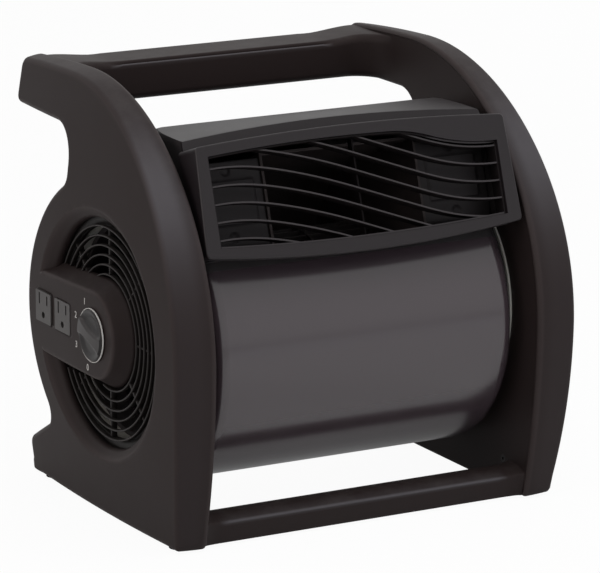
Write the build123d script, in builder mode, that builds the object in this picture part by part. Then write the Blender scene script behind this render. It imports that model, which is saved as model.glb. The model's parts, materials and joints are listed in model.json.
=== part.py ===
"""Air circulator fan: a blower head that pivots between two bowed side panels.

Frame: +Z up, the front faces -Y, +X is to the right seen from the front.
The origin lies on the floor, under the middle of the fan. Lengths are in millimetres.
"""
from build123d import *
from math import cos, pi, radians, sin, sqrt
import os

os.makedirs("parts", exist_ok=True)

# ---------------------------------------------------------------- driving sizes

# Side panels: a bowed outer skin over a flat liner.
PANEL_PEAK_X = 170.0  # outermost point of a panel, from the middle of the fan
PANEL_INNER_X = 132.5  # inner face of a panel
PANEL_WALL = 3.0
BOW_PLAN_R = 1800.0  # radius of the skin's bow, seen from above
BOW_RISE_R = 950.0  # radius of the skin's bow, seen from the front
BOW_Y = -10.5  # where the bow peaks
BOW_Z = 140.0
PANEL_EDGE_R = 4.0  # soft edge round the skin
PANEL_INNER_EDGE_R = 2.2  # and round the side that faces the blower
PAD_PROUD = 1.2  # how far the rubber feet lift the panels

# Outline of a panel seen from the side, as (y, z).
TOE_FRONT_Y = -126.0
SHIN_MID = (-140.0, 75.0)
BELLY = (-144.0, 130.0)
SHOULDER = (-88.5, 267.0)
BROW_END = (50.0, 322.0)
HOOK_BACK_Y = 144.0
HOOK_TOP_Z = 317.0
HOOK_UNDER_Z = 280.0
NECK_Y = 37.0
NECK_LOW_Z = 241.5
BULGE_MID = (98.5, 147.0)
WAIST = (61.0, 57.0)
HEEL_Y = 115.5
HEEL_Z = 30.0
HOOK_TOP_R = 11.0
HOOK_UNDER_R = 9.0
NECK_TOP_R = 26.0
NECK_LOW_R = 10.0
WAIST_R = 9.0
HEEL_R = 8.0
TOE_R = 4.0

# Pivot axis, along X, through the middle of both inlets.
PIVOT_Y = -20.0
PIVOT_Z = 139.5
JOURNAL_R = 80.0  # outside of the head's two pivot rings
JOURNAL_WALL = 4.0
RUN_CLEARANCE = 0.08  # radial, between a pivot ring and its bush
BUSH_WALL = 2.5
BUSH_FLANGE_R = 86.0
BUSH_FLANGE_T = 1.5
SEAT_GAP = 0.05  # radial, between parts that are pushed together
COLLAR_WALL = 3.0
COLLAR_LENGTH = 14.0
LINER_T = 2.5
FIT_GAP = 0.3  # around a part that drops into its opening

# Inlets and grilles.
INLET_R = 93.0  # outer rim of the dished inlet
INLET_RIM_X = 167.0
DISH_FLOOR_X = 160.0
DISH_FLOOR_R = 84.5  # where the dish meets the grille
GRILLE_FACE_X = 158.6  # front of the outermost ring
RING_R = 78.6
RING_PITCH = 7.15
RING_COUNT = 6
RING_WIDTH = 1.5
RING_DEPTH = 3.6
RING_DISH = 0.4  # how much deeper each ring lies than the one outside it
FLANGE_R = 93.0
FLANGE_INNER_R = 78.0
FLANGE_T = 3.0
SPOKE_COUNT = 8
SPOKE_WIDTH = 1.8
SPOKE_DEPTH = 5.0
SPOKE_INNER_R = 30.0
HUB_CAP_R = 36.0
HUB_CAP_WALL = 2.6
HUB_CAP_EDGE_R = 3.0

# Control tongue on the left panel.
TONGUE_HALF = 32.0  # half its height, and the radius of its round tip
TONGUE_SKIRT = 8.5  # how much wider its foot is
TONGUE_WALL = 2.6
TONGUE_TAPER = 5.0  # the tongue's top edge drops this much towards the rear
TONGUE_CLEAR = 1.0  # gap between the tongue's foot and the grille
TONGUE_TAIL_Y = 88.0
KNOB_R = 20.0
KNOB_RISE = 4.0  # height of the grip
KNOB_BASE = 2.0
KNOB_RIM = 1.4
KNOB_GAP = 0.6
GRIP_WIDTH = 7.0
POINTER_DEG = 17.0  # the grip points at the dial's 2
SPINDLE_R = 3.0
SPINDLE_CLEARANCE = 0.06
SWITCH_R = 13.0
SWITCH_DEPTH = 13.0
SWITCH_TAB = 4.0
SOCKET_W = 25.5
SOCKET_H = 23.5
SOCKET_DEPTH = 18.0
SOCKET_PROUD = 0.6
SOCKET_CORNER_R = 1.2
SOCKET_REAR_Y = 63.0
SOCKET_PITCH = 32.5
SOCKET_Z = 142.0
BLADE_PITCH = 12.7
NEUTRAL_SLOT = 8.7
LINE_SLOT = 7.1
SLOT_WIDTH = 2.0
EARTH_DROP = 11.9
EARTH_R = 2.5
SLOT_DEPTH = 9.0
BOX_WALL = 1.6
BOX_DEPTH = 19.0
LEAD_R = 3.0

# Handle and crossbars; the handle's sections are (front y, rear y, low z, high z).
HANDLE_GRIP = (98.0, 140.5, 284.0, 311.0)
HANDLE_ROOT = (86.0, 141.0, 282.0, 316.0)
HANDLE_GRIP_END_X = 92.0
HANDLE_WALL = 3.0
HANDLE_CAP_T = 4.5
HANDLE_GROOVE = 1.0
HANDLE_CAP_HALF = 90.0
HANDLE_EDGE_R = 6.0
BAR_WALL = 2.5
BAR_EDGE_R = 3.5

# Crossbar outlines seen from the side, as (y, z).
FRONT_BAR = [(-117.5, 2.5), (-123.5, 22.5), (-101.5, 22.5), (-98.5, 2.5)]
REAR_BAR = [(86.0, 2.5), (84.0, 23.0), (106.0, 23.0), (108.0, 2.5)]

# Blower head.
TILT_DEG = 18.0  # the outlet points this far up at rest
DRUM_R = 105.0
DRUM_F = -1.2  # centre of the drum, forward of the pivot along the outlet
DRUM_U = -7.0  # and above it
DRUM_HALF = 123.0
DRUM_EDGE_R = 10.0
HOOD_R = 147.5  # the hood's curve runs on from the drum's rear
HOOD_MEET_DEG = 176.0  # where it leaves the drum, round its own centre
HEAD_WALL = 2.5
CROWN_R = 1300.0  # bow of the hood's top, seen from the front
CROWN_RISE = 153.0  # its peak over the pivot
CHIN_U = 36.5  # height of the mouth's underside, along the fascia
MOUTH_PUSH = 8.0  # clears the mouth of the hollow
SHELL_SCREW_X = 88.0
SHELL_SCREW_REAR = -101.0
SHELL_BOSS_W = 13.0
SHELL_BOSS_LENGTH = 24.0
RING_FLANGE_T = 2.0
RING_SHOULDER = 7.8
RING_LENGTH = 17.0
SPLIT_DEG = 17.0  # plane where the two halves of the head meet

# Fascia: a leaning frame, in forward and up distances from the pivot.
FASCIA_FRONT = 122.0
FASCIA_TOP = 117.0
FASCIA_BOTTOM = 38.0
FASCIA_TOP_HALF = 126.5
FASCIA_BOTTOM_HALF = 130.0
FASCIA_TOP_BOW = 5.0
FASCIA_BOTTOM_BOW = 8.0
FASCIA_BACK_TOP = 93.0
FASCIA_BACK_BOTTOM = 108.0
WINDOW_HALF = 118.0
WINDOW_BOTTOM = 44.0
WINDOW_BOW = 4.0
# The window's top, from left to right: a long crest, a fall and a flat end.
WINDOW_TOP_LEFT = 109.5
WINDOW_CREST = (-45.0, 113.6)
WINDOW_CREST_END = (30.0, 113.2)
WINDOW_FALL = (62.0, 107.2)
WINDOW_TOP_RIGHT = 98.3
FASCIA_WALL = 3.0
FASCIA_FACE_T = 4.0
FASCIA_CORNER_R = 3.5
FASCIA_EDGE_R = 1.5
FASCIA_FLANGE_T = 2.5  # inward flange that closes onto the head's mouth
FASCIA_THROAT_HALF = 119.5
FASCIA_THROAT_LOW = 39.5
FASCIA_THROAT_HIGH = 114.5

# Louvres: one wave, repeated up the window.
LOUVRE_WAVE = [
    (-124.0, 100.5),
    (-102.0, 101.6),
    (-85.0, 100.2),
    (-65.0, 96.4),
    (-46.0, 91.5),
    (-15.0, 81.6),
    (16.0, 70.0),
    (47.0, 58.3),
    (73.0, 49.6),
    (98.0, 44.9),
    (124.0, 44.4),
]
LOUVRE_PITCH = 12.8
LOUVRES_BELOW = 4
LOUVRES_ABOVE = 4
LOUVRE_T = 1.2
LOUVRE_BACK = 108.0
LOUVRE_FRONT = 119.5
LOUVRE_FLANGE = 2.0
LOUVRE_FLANGE_T = 2.5
RIB_T = 1.4
RIB_DEPTH = 5.0
RIB_X = 5.5

# Scroll, wheel and motor.
SCROLL_HALF = 64.0
SCROLL_WALL = 2.0
WHEEL_R = 60.0
WHEEL_INNER_R = 49.0
WHEEL_HALF = 56.0
WHEEL_BLADES = 36
BLADE_T = 1.0
SCROLL_CUTOFF_DEG = 40.0
SCROLL_START_R = 65.0
SCROLL_GROWTH = 0.1226  # radius gained per degree
SCROLL_TURN = 310.0
SPIRAL_STEPS = 12
MOUTH_F = 96.0
MOUTH_TOP_U = 110.0
MOUTH_LIP_U = 41.0
SCROLL_INLET_R = 50.0
INLET_LIP = 6.0
INLET_RING_T = 1.5
INLET_RING_REACH = 6.0
BAFFLE_F = 93.0
BAFFLE_NEAR_X = 64.2
BAFFLE_FAR_X = 120.3
BAFFLE_LOW = 45.0
BAFFLE_HIGH = 107.0
BAFFLE_T = 1.5
BAFFLE_TAB = 12.0
BAFFLE_NOTCH_R = 4.0
WHEEL_RING_T = 2.0
WHEEL_HOLES = 6
WHEEL_HOLE_R = 8.0
BLADE_LEAN_DEG = 30.0
HUB_R = 9.0
HUB_LENGTH = 22.0
SHAFT_R = 4.0
SHAFT_CLEARANCE = 0.04
MOTOR_R = 40.0
CAN_WALL = 1.5
ROTOR_R = 22.0
ROTOR_GAP = 0.5
STATOR_SLOT = 9.0
STATOR_SLOTS = 12
MOTOR_X = 72.0
MOTOR_LENGTH = 38.0
BELL_LENGTH = 9.0
BELL_WALL = 2.0
BEARING_R = 8.0
BEARING_LENGTH = 7.0
BRACKET_T = 2.0
BRACKET_ARMS = 3
BRACKET_START = 30
BRACKET_X = 84.0
BRACKET_WIDTH = 10.0
BRACKET_FOOT_R = 59.0
CAPACITOR_SPOT = (-30.0, 70.0)
CAPACITOR_EDGE_R = 2.0
CAPACITOR_R = 11.0
CAPACITOR_LENGTH = 34.0

# Small parts.
SCREW_R = 1.6
SCREW_HEAD_R = 3.2
SCREW_HEAD_T = 1.6
DRIVE_R = 1.1
SCREW_LENGTH = 9.0
GRILLE_SCREWS = 4
GRILLE_SCREW_START = 45
GRILLE_SCREW_RING_R = 89.5
GRILLE_SCREW_LENGTH = 7.0
BOSS_R = 4.2
PAD_R = 8.0
PAD_T = 2.8
PAD_STEM_R = 2.4
PAD_X = 145.0
PAD_FRONT_Y = -108.0
PAD_REAR_Y = 97.0
GLAND_R = 6.5
GLAND_FLANGE_R = 8.5
GLAND_FLANGE_T = 2.5
GLAND_X = -145.0
GLAND_Z = 14.0

# ---------------------------------------------------------------- shared places

PIVOT = Vector(0, PIVOT_Y, PIVOT_Z)
TOE_Z = PAD_PROUD
BUSH_R = JOURNAL_R + RUN_CLEARANCE
RING_BORE_R = JOURNAL_R - JOURNAL_WALL
HOOD_F = DRUM_F + HOOD_R - DRUM_R
MOUTH_SLOPE = (FASCIA_BACK_BOTTOM - FASCIA_BACK_TOP) / (FASCIA_TOP - FASCIA_BOTTOM)
COLLAR_R = BUSH_R + BUSH_WALL + SEAT_GAP
COLLAR_OUTER_R = COLLAR_R + COLLAR_WALL
LINER_BACK_X = PANEL_INNER_X + LINER_T
DISH_WALL_R = INLET_R + PANEL_WALL
DISH_BACK_X = GRILLE_FACE_X - RING_DEPTH - 1.0
TONGUE_FOOT_X = DISH_BACK_X + 1.0
TONGUE_FACE_X = PANEL_PEAK_X - 0.5
SOCKET_SPOTS = [(SOCKET_REAR_Y, SOCKET_Z), (SOCKET_REAR_Y - SOCKET_PITCH, SOCKET_Z)]
FAR_X = PANEL_PEAK_X + 10  # clear outside everything
SCREW_SPOTS = [(-96, 24), (-62, 262), (64, 206), (60, 14)]
LEAD_HOLE = (-158, 80, 106)  # where the lead enters the tongue, from below
LEAD_HOLE_DEPTH = 14.0
LEAD_START = (GLAND_X, HEEL_Y + 2, GLAND_Z)
LEAD_BENDS = [
    (GLAND_X, 106, GLAND_Z),
    (-149, 80, 22),
    (-154, 50, 47),
    (-157, 54, 66),
    (-158, 75, 84),
    (-158, 80, 97),
]
LEAD_END = (-158, 80, 112)
SPOKE_MID_R = (FLANGE_INNER_R + SPOKE_INNER_R) / 2
BOX_FRONT_X = TONGUE_FACE_X - TONGUE_WALL - SEAT_GAP
KNOB_FACE_X = PANEL_PEAK_X + KNOB_GAP


def skin_x(y, z, depth=0.0):
    """Distance of the bowed skin from the middle plane, at (y, z)."""
    plan = BOW_PLAN_R - depth
    rise = BOW_RISE_R - depth
    drop_y = plan - sqrt(plan**2 - (y - BOW_Y) ** 2)
    drop_z = rise - sqrt(rise**2 - (z - BOW_Z) ** 2)
    return PANEL_PEAK_X - depth - drop_y - drop_z


def side_plane(x):
    """Plane seen from the side: local x runs along Y, local y along Z."""
    return Plane.YZ.offset(x)


def pivot_plane(x):
    """As side_plane, with its origin on the pivot axis."""
    return Plane(origin=(x, PIVOT_Y, PIVOT_Z), x_dir=(0, 1, 0), z_dir=(1, 0, 0))


def outlet_plane(forward):
    """Plane across the outlet: local x is X, local y is up along the fascia."""
    lean = radians(TILT_DEG)
    ahead = Vector(0, -cos(lean), sin(lean))
    return Plane(origin=PIVOT + ahead * forward, x_dir=(1, 0, 0), z_dir=ahead)


def duct_plane(x):
    """Side view in the outlet's own directions: local x is forward, local y up."""
    lean = radians(TILT_DEG)
    ahead = (0, -cos(lean), sin(lean))
    return Plane(origin=(x, PIVOT_Y, PIVOT_Z), x_dir=ahead, z_dir=(-1, 0, 0))


def save(piece, name):
    """Label one finished piece and write its file."""
    piece.label = name
    export_step(piece, f"parts/{name}.step")


def bow_block(depth):
    """Everything inside the bowed skin of the right panel, less a depth."""
    reach = radians(8)
    plan_axis_x = PANEL_PEAK_X - BOW_PLAN_R
    start = Plane(
        origin=(plan_axis_x, BOW_Y, 0),
        x_dir=(cos(reach), -sin(reach), 0),
        z_dir=(-sin(reach), -cos(reach), 0),
    )
    peak = BOW_PLAN_R - depth
    rise = BOW_RISE_R - depth
    low_z = -30
    high_z = 350
    low_x = peak - rise + sqrt(rise**2 - (low_z - BOW_Z) ** 2)
    high_x = peak - rise + sqrt(rise**2 - (high_z - BOW_Z) ** 2)
    core_x = BOW_PLAN_R - PANEL_PEAK_X + PANEL_INNER_X - 40
    with BuildPart() as block:
        with BuildSketch(start):
            with BuildLine():
                ThreePointArc((low_x, low_z), (peak, BOW_Z), (high_x, high_z))
                Polyline((high_x, high_z), (core_x, high_z), (core_x, low_z), (low_x, low_z))
            make_face()
        revolve(axis=Axis((plan_axis_x, BOW_Y, 0), (0, 0, 1)), revolution_arc=16)
    return block.part


def panel_outline(inset):
    """Side view of a panel, drawn in by an inset."""
    with BuildSketch() as outline:
        with BuildLine():
            shin = ThreePointArc((TOE_FRONT_Y, TOE_Z), SHIN_MID, BELLY)
            chest = TangentArc(BELLY, SHOULDER, tangent=shin % 1)
            brow = TangentArc(SHOULDER, BROW_END, tangent=chest % 1)
            TangentArc(BROW_END, (HOOK_BACK_Y, HOOK_TOP_Z), tangent=brow % 1)
            Polyline(
                (HOOK_BACK_Y, HOOK_TOP_Z),
                (HOOK_BACK_Y, HOOK_UNDER_Z),
                (NECK_Y, HOOK_UNDER_Z),
                (NECK_Y, NECK_LOW_Z),
            )
            ThreePointArc((NECK_Y, NECK_LOW_Z), BULGE_MID, WAIST)
            Polyline(WAIST, (HEEL_Y, HEEL_Z), (HEEL_Y, TOE_Z), (TOE_FRONT_Y, TOE_Z))
        make_face()
        for spot, radius in (
            ((TOE_FRONT_Y, TOE_Z), TOE_R),
            ((HEEL_Y, TOE_Z), TOE_R),
            ((HEEL_Y, HEEL_Z), HEEL_R),
            (WAIST, WAIST_R),
            ((NECK_Y, NECK_LOW_Z), NECK_LOW_R),
            ((NECK_Y, HOOK_UNDER_Z), NECK_TOP_R),
            ((HOOK_BACK_Y, HOOK_UNDER_Z), HOOK_UNDER_R),
            ((HOOK_BACK_Y, HOOK_TOP_Z), HOOK_TOP_R),
        ):
            fillet(outline.vertices().sort_by_distance((*spot, 0))[0], radius)
        if inset:
            offset(amount=-inset, mode=Mode.REPLACE)
    return outline.sketch


UP = (Align.CENTER, Align.CENTER, Align.MIN)
PANEL_SHAPE = panel_outline(0)
CAVITY_SHAPE = panel_outline(PANEL_WALL)
LINER_SHAPE = panel_outline(PANEL_WALL + FIT_GAP)
SKIN_BLOCK = bow_block(0)
CAVITY_BLOCK = bow_block(PANEL_WALL)


def tongue_outline(grow):
    """Side view of the control tongue, seen from the pivot axis."""
    half = TONGUE_HALF + grow
    tail_y = TONGUE_TAIL_Y - PIVOT_Y + min(grow, 0)
    with BuildSketch() as shape:
        Circle(half)
        with BuildLine():
            Polyline(
                (0, half),
                (tail_y, half - TONGUE_TAPER),
                (tail_y, -half),
                (0, -half),
                close=True,
            )
        make_face()
    return shape.sketch


TONGUE_FOOT = tongue_outline(TONGUE_SKIRT)
TONGUE_CREST = tongue_outline(0)
TONGUE_INNER_FOOT = tongue_outline(TONGUE_SKIRT - TONGUE_WALL)
TONGUE_INNER_CREST = tongue_outline(-TONGUE_WALL)
TONGUE_OPENING = tongue_outline(TONGUE_SKIRT + TONGUE_CLEAR)
BOX_SHAPE = tongue_outline(-TONGUE_WALL - FIT_GAP)
BOX_INNER_SHAPE = tongue_outline(-TONGUE_WALL - FIT_GAP - BOX_WALL)

# ---------------------------------------------------------------- side panels

with BuildPart() as cavity:
    with BuildSketch(side_plane(PANEL_INNER_X - 1)):
        add(CAVITY_SHAPE)
    extrude(amount=FAR_X - PANEL_INNER_X)
    add(CAVITY_BLOCK, mode=Mode.INTERSECT)
    with BuildSketch(pivot_plane(DISH_BACK_X)):
        Circle(DISH_WALL_R)
    extrude(amount=FAR_X - DISH_BACK_X, mode=Mode.SUBTRACT)
    with BuildSketch(side_plane(LINER_BACK_X)):
        with Locations(*SCREW_SPOTS):
            Circle(BOSS_R)
    extrude(amount=FAR_X - LINER_BACK_X, mode=Mode.SUBTRACT)

with BuildPart() as side_panel_right:
    with BuildSketch(side_plane(PANEL_INNER_X)):
        add(PANEL_SHAPE)
    extrude(amount=FAR_X - PANEL_INNER_X)
    add(SKIN_BLOCK, mode=Mode.INTERSECT)
    fillet(side_panel_right.faces().sort_by(Axis.X)[-1].edges(), PANEL_EDGE_R)
    fillet(side_panel_right.faces().sort_by(Axis.X)[0].edges(), PANEL_INNER_EDGE_R)
    add(cavity.part, mode=Mode.SUBTRACT)
    # Inlet: a dished rim that narrows to the grille.
    with Locations(pivot_plane(DISH_FLOOR_X)):
        Cone(
            bottom_radius=DISH_FLOOR_R,
            top_radius=INLET_R + (INLET_R - DISH_FLOOR_R) * 2,
            height=(INLET_RIM_X - DISH_FLOOR_X) * 3,
            align=UP,
            mode=Mode.SUBTRACT,
        )
    with Locations(pivot_plane(DISH_BACK_X - 1)):
        Cylinder(DISH_FLOOR_R, DISH_FLOOR_X - DISH_BACK_X + 2, align=UP, mode=Mode.SUBTRACT)
    # Pilot holes for the liner's and the grille's screws.
    with BuildSketch(side_plane(LINER_BACK_X)):
        with Locations(*SCREW_SPOTS):
            Circle(SCREW_R + SEAT_GAP)
    extrude(amount=SCREW_LENGTH, mode=Mode.SUBTRACT)
    with BuildSketch(pivot_plane(DISH_BACK_X)):
        with PolarLocations(GRILLE_SCREW_RING_R, GRILLE_SCREWS, start_angle=GRILLE_SCREW_START):
            Circle(SCREW_R + SEAT_GAP)
    extrude(amount=GRILLE_SCREW_LENGTH - FLANGE_T + 1, mode=Mode.SUBTRACT)
    # Pockets and stem holes for the rubber feet.
    with BuildSketch(Plane.XY.offset(TOE_Z)):
        with Locations((PAD_X, PAD_FRONT_Y), (PAD_X, PAD_REAR_Y)):
            Circle(PAD_R + SEAT_GAP)
    extrude(amount=PAD_T - TOE_Z, mode=Mode.SUBTRACT)
    with BuildSketch(Plane.XY.offset(TOE_Z)):
        with Locations((PAD_X, PAD_FRONT_Y), (PAD_X, PAD_REAR_Y)):
            Circle(PAD_STEM_R + SEAT_GAP)
    extrude(amount=PANEL_WALL + 1, mode=Mode.SUBTRACT)

with BuildPart() as left_skin_block:
    add(SKIN_BLOCK)
    mirror(about=Plane.YZ, mode=Mode.REPLACE)

with BuildPart() as tongue:
    with BuildSketch(pivot_plane(-TONGUE_FOOT_X)):
        add(TONGUE_FOOT)
    with BuildSketch(pivot_plane(-FAR_X)):
        add(TONGUE_CREST)
    loft()
    add(left_skin_block.part, mode=Mode.INTERSECT)

with BuildPart() as side_panel_left:
    add(side_panel_right.part)
    mirror(about=Plane.YZ, mode=Mode.REPLACE)
    # Control tongue: a hollow bridge from the rear into the middle of the inlet.
    add(tongue.part)
    with BuildSketch(pivot_plane(-TONGUE_FOOT_X + 1)):
        add(TONGUE_INNER_FOOT)
    with BuildSketch(pivot_plane(-TONGUE_FACE_X + TONGUE_WALL)):
        add(TONGUE_INNER_CREST)
    loft(mode=Mode.SUBTRACT)
    # Openings of the outlets, the switch's spindle, the lead and the cord's gland.
    with BuildSketch(side_plane(-TONGUE_FOOT_X)):
        with Locations(*SOCKET_SPOTS):
            Rectangle(SOCKET_W + 2 * FIT_GAP, SOCKET_H + 2 * FIT_GAP)
        with Locations((PIVOT_Y, PIVOT_Z)):
            Circle(SPINDLE_R + FIT_GAP)
    extrude(amount=TONGUE_FOOT_X - FAR_X, mode=Mode.SUBTRACT)
    with Locations(LEAD_HOLE):
        Cylinder(LEAD_R + FIT_GAP, LEAD_HOLE_DEPTH, mode=Mode.SUBTRACT)
    with Locations(Plane(origin=(GLAND_X, HEEL_Y + 1, GLAND_Z), z_dir=(0, -1, 0))):
        Cylinder(GLAND_R + SEAT_GAP, PANEL_WALL + 3, align=UP, mode=Mode.SUBTRACT)

save(side_panel_right.part, "side_panel_right")
save(side_panel_left.part, "side_panel_left")

# ---------------------------------------------------------------- liners and pivots

with BuildPart() as inner_liner_right:
    with BuildSketch(side_plane(PANEL_INNER_X)):
        add(LINER_SHAPE)
    extrude(amount=LINER_T)
    with Locations(pivot_plane(PANEL_INNER_X)):
        Cylinder(COLLAR_OUTER_R, COLLAR_LENGTH, align=UP)
        Cylinder(COLLAR_R, COLLAR_LENGTH, align=UP, mode=Mode.SUBTRACT)
    with BuildSketch(side_plane(PANEL_INNER_X)):
        with Locations(*SCREW_SPOTS):
            Circle(SCREW_R + 2 * SEAT_GAP)
    extrude(amount=LINER_T, mode=Mode.SUBTRACT)
    with Locations(side_plane(PANEL_INNER_X)):
        with Locations(*SCREW_SPOTS):
            Cone(
                bottom_radius=SCREW_HEAD_R + SEAT_GAP,
                top_radius=SCREW_R + SEAT_GAP,
                height=SCREW_HEAD_T,
                align=UP,
                mode=Mode.SUBTRACT,
            )

with BuildPart() as inner_liner_left:
    add(inner_liner_right.part)
    mirror(about=Plane.YZ, mode=Mode.REPLACE)

with BuildPart() as pivot_bush_right:
    with Locations(pivot_plane(PANEL_INNER_X)):
        Cylinder(BUSH_R + BUSH_WALL, COLLAR_LENGTH, align=UP)
    with Locations(pivot_plane(PANEL_INNER_X - BUSH_FLANGE_T - SEAT_GAP)):
        Cylinder(BUSH_FLANGE_R, BUSH_FLANGE_T, align=UP)
        Cylinder(BUSH_R + BUSH_WALL, BUSH_FLANGE_T + 1, align=UP)
        Cylinder(BUSH_R, COLLAR_LENGTH + FLANGE_T, align=UP, mode=Mode.SUBTRACT)

with BuildPart() as pivot_bush_left:
    add(pivot_bush_right.part)
    mirror(about=Plane.YZ, mode=Mode.REPLACE)

with BuildPart() as liner_screws:
    with Locations(side_plane(PANEL_INNER_X)):
        with Locations(*SCREW_SPOTS):
            Cone(
                bottom_radius=SCREW_HEAD_R,
                top_radius=SCREW_R,
                height=SCREW_HEAD_T,
                align=UP,
            )
            Cylinder(SCREW_R, LINER_T + SCREW_LENGTH - 1, align=UP)
            Cylinder(DRIVE_R, SCREW_HEAD_T / 2, align=UP, mode=Mode.SUBTRACT)
    mirror(about=Plane.YZ)

save(inner_liner_right.part, "inner_liner_right")
save(inner_liner_left.part, "inner_liner_left")
save(pivot_bush_right.part, "pivot_bush_right")
save(pivot_bush_left.part, "pivot_bush_left")
save(liner_screws.part, "liner_screws")

# ---------------------------------------------------------------- inlet grilles

with BuildPart() as inlet_grille_right:
    with BuildSketch(pivot_plane(DISH_BACK_X - FLANGE_T - SEAT_GAP)):
        Circle(FLANGE_R)
        Circle(FLANGE_INNER_R, mode=Mode.SUBTRACT)
        with PolarLocations(GRILLE_SCREW_RING_R, GRILLE_SCREWS, start_angle=GRILLE_SCREW_START):
            Circle(SCREW_R + 2 * SEAT_GAP, mode=Mode.SUBTRACT)
    extrude(amount=FLANGE_T)
    # Rings, each a little deeper than the one outside it.
    for step in range(RING_COUNT):
        ring_r = RING_R - step * RING_PITCH
        with BuildSketch(pivot_plane(GRILLE_FACE_X - RING_DEPTH - step * RING_DISH)):
            Circle(ring_r + RING_WIDTH / 2)
            Circle(ring_r - RING_WIDTH / 2, mode=Mode.SUBTRACT)
        extrude(amount=RING_DEPTH)
    # Spokes behind the rings, from the flange to the middle.
    with BuildSketch(pivot_plane(DISH_BACK_X - FLANGE_T - SEAT_GAP)):
        with PolarLocations(SPOKE_MID_R, SPOKE_COUNT):
            Rectangle(FLANGE_INNER_R - SPOKE_INNER_R + 1, SPOKE_WIDTH)
    extrude(amount=SPOKE_DEPTH)
    # Hollow hub, as high as the panel's skin.
    with Locations(pivot_plane(DISH_BACK_X - FLANGE_T - SEAT_GAP)):
        Cylinder(HUB_CAP_R, SPOKE_DEPTH + 1, align=UP)
    with Locations(pivot_plane(TONGUE_FOOT_X)):
        Cone(
            bottom_radius=TONGUE_HALF + TONGUE_SKIRT,
            top_radius=TONGUE_HALF,
            height=PANEL_PEAK_X - TONGUE_FOOT_X,
            align=UP,
        )
    fillet(inlet_grille_right.faces().sort_by(Axis.X)[-1].edges(), HUB_CAP_EDGE_R)
    with Locations(pivot_plane(DISH_BACK_X - FLANGE_T - 1)):
        Cone(
            bottom_radius=HUB_CAP_R - HUB_CAP_WALL,
            top_radius=TONGUE_HALF - HUB_CAP_WALL,
            height=PANEL_PEAK_X - HUB_CAP_WALL - DISH_BACK_X + FLANGE_T + 1,
            align=UP,
            mode=Mode.SUBTRACT,
        )

with BuildPart() as inlet_grille_left:
    add(inlet_grille_right.part)
    mirror(about=Plane.YZ, mode=Mode.REPLACE)
    with BuildSketch(pivot_plane(-PANEL_INNER_X)):
        add(TONGUE_OPENING)
    extrude(amount=-FAR_X, mode=Mode.SUBTRACT)

with BuildPart() as grille_screws:
    with Locations(pivot_plane(DISH_BACK_X - FLANGE_T - 2 * SEAT_GAP)):
        with PolarLocations(GRILLE_SCREW_RING_R, GRILLE_SCREWS, start_angle=GRILLE_SCREW_START):
            Cylinder(SCREW_R, GRILLE_SCREW_LENGTH, align=UP)
            Cylinder(SCREW_HEAD_R, SCREW_HEAD_T, align=(Align.CENTER, Align.CENTER, Align.MAX))
    mirror(about=Plane.YZ)

save(inlet_grille_right.part, "inlet_grille_right")
save(inlet_grille_left.part, "inlet_grille_left")
save(grille_screws.part, "grille_screws")

# ---------------------------------------------------------------- handle and crossbars


def rounded_bar(section, corner):
    """Draw a rounded section, given as front y, rear y, low z and high z."""
    front, rear, low, high = section
    with Locations(((front + rear) / 2, (low + high) / 2)):
        RectangleRounded(rear - front, high - low, corner)


CAP_LOW_Z = HANDLE_GRIP[3] - HANDLE_CAP_T
GRIP_INNER = (
    HANDLE_GRIP[0] + HANDLE_WALL,
    HANDLE_GRIP[1] - HANDLE_WALL,
    HANDLE_GRIP[2] + HANDLE_WALL,
    HANDLE_GRIP[3] + HANDLE_WALL,
)

with BuildPart() as handle_body:
    with BuildSketch(side_plane(-HANDLE_GRIP_END_X)):
        rounded_bar(HANDLE_GRIP, HANDLE_EDGE_R)
    extrude(amount=2 * HANDLE_GRIP_END_X)
    with BuildSketch(side_plane(HANDLE_GRIP_END_X)):
        rounded_bar(HANDLE_GRIP, HANDLE_EDGE_R)
    with BuildSketch(side_plane(PANEL_INNER_X)):
        rounded_bar(HANDLE_ROOT, HANDLE_EDGE_R)
    loft()
    mirror(about=Plane.YZ)

with BuildPart() as handle_lower_shell:
    add(handle_body.part)
    with BuildSketch(Plane.XY.offset(CAP_LOW_Z)):
        Rectangle(2 * HANDLE_CAP_HALF, 2 * PANEL_PEAK_X)
    extrude(amount=HANDLE_CAP_T + 1, mode=Mode.SUBTRACT)
    with BuildSketch(side_plane(-HANDLE_CAP_HALF + HANDLE_WALL)):
        rounded_bar(GRIP_INNER, HANDLE_WALL)
    extrude(amount=2 * (HANDLE_CAP_HALF - HANDLE_WALL), mode=Mode.SUBTRACT)

with BuildPart() as handle_top_cap:
    add(handle_body.part)
    with BuildSketch(Plane.XY.offset(CAP_LOW_Z + SEAT_GAP)):
        Rectangle(2 * (HANDLE_CAP_HALF - HANDLE_GROOVE / 2), 2 * PANEL_PEAK_X)
    extrude(amount=HANDLE_CAP_T + 1, mode=Mode.INTERSECT)
    # A step along the rim leaves the groove that runs under the cap.
    with BuildSketch(side_plane(-HANDLE_CAP_HALF)):
        for edge_y in HANDLE_GRIP[:2]:
            with Locations((edge_y, CAP_LOW_Z)):
                Rectangle(2 * HANDLE_GROOVE, 2 * HANDLE_GROOVE)
    extrude(amount=2 * HANDLE_CAP_HALF, mode=Mode.SUBTRACT)


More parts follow.
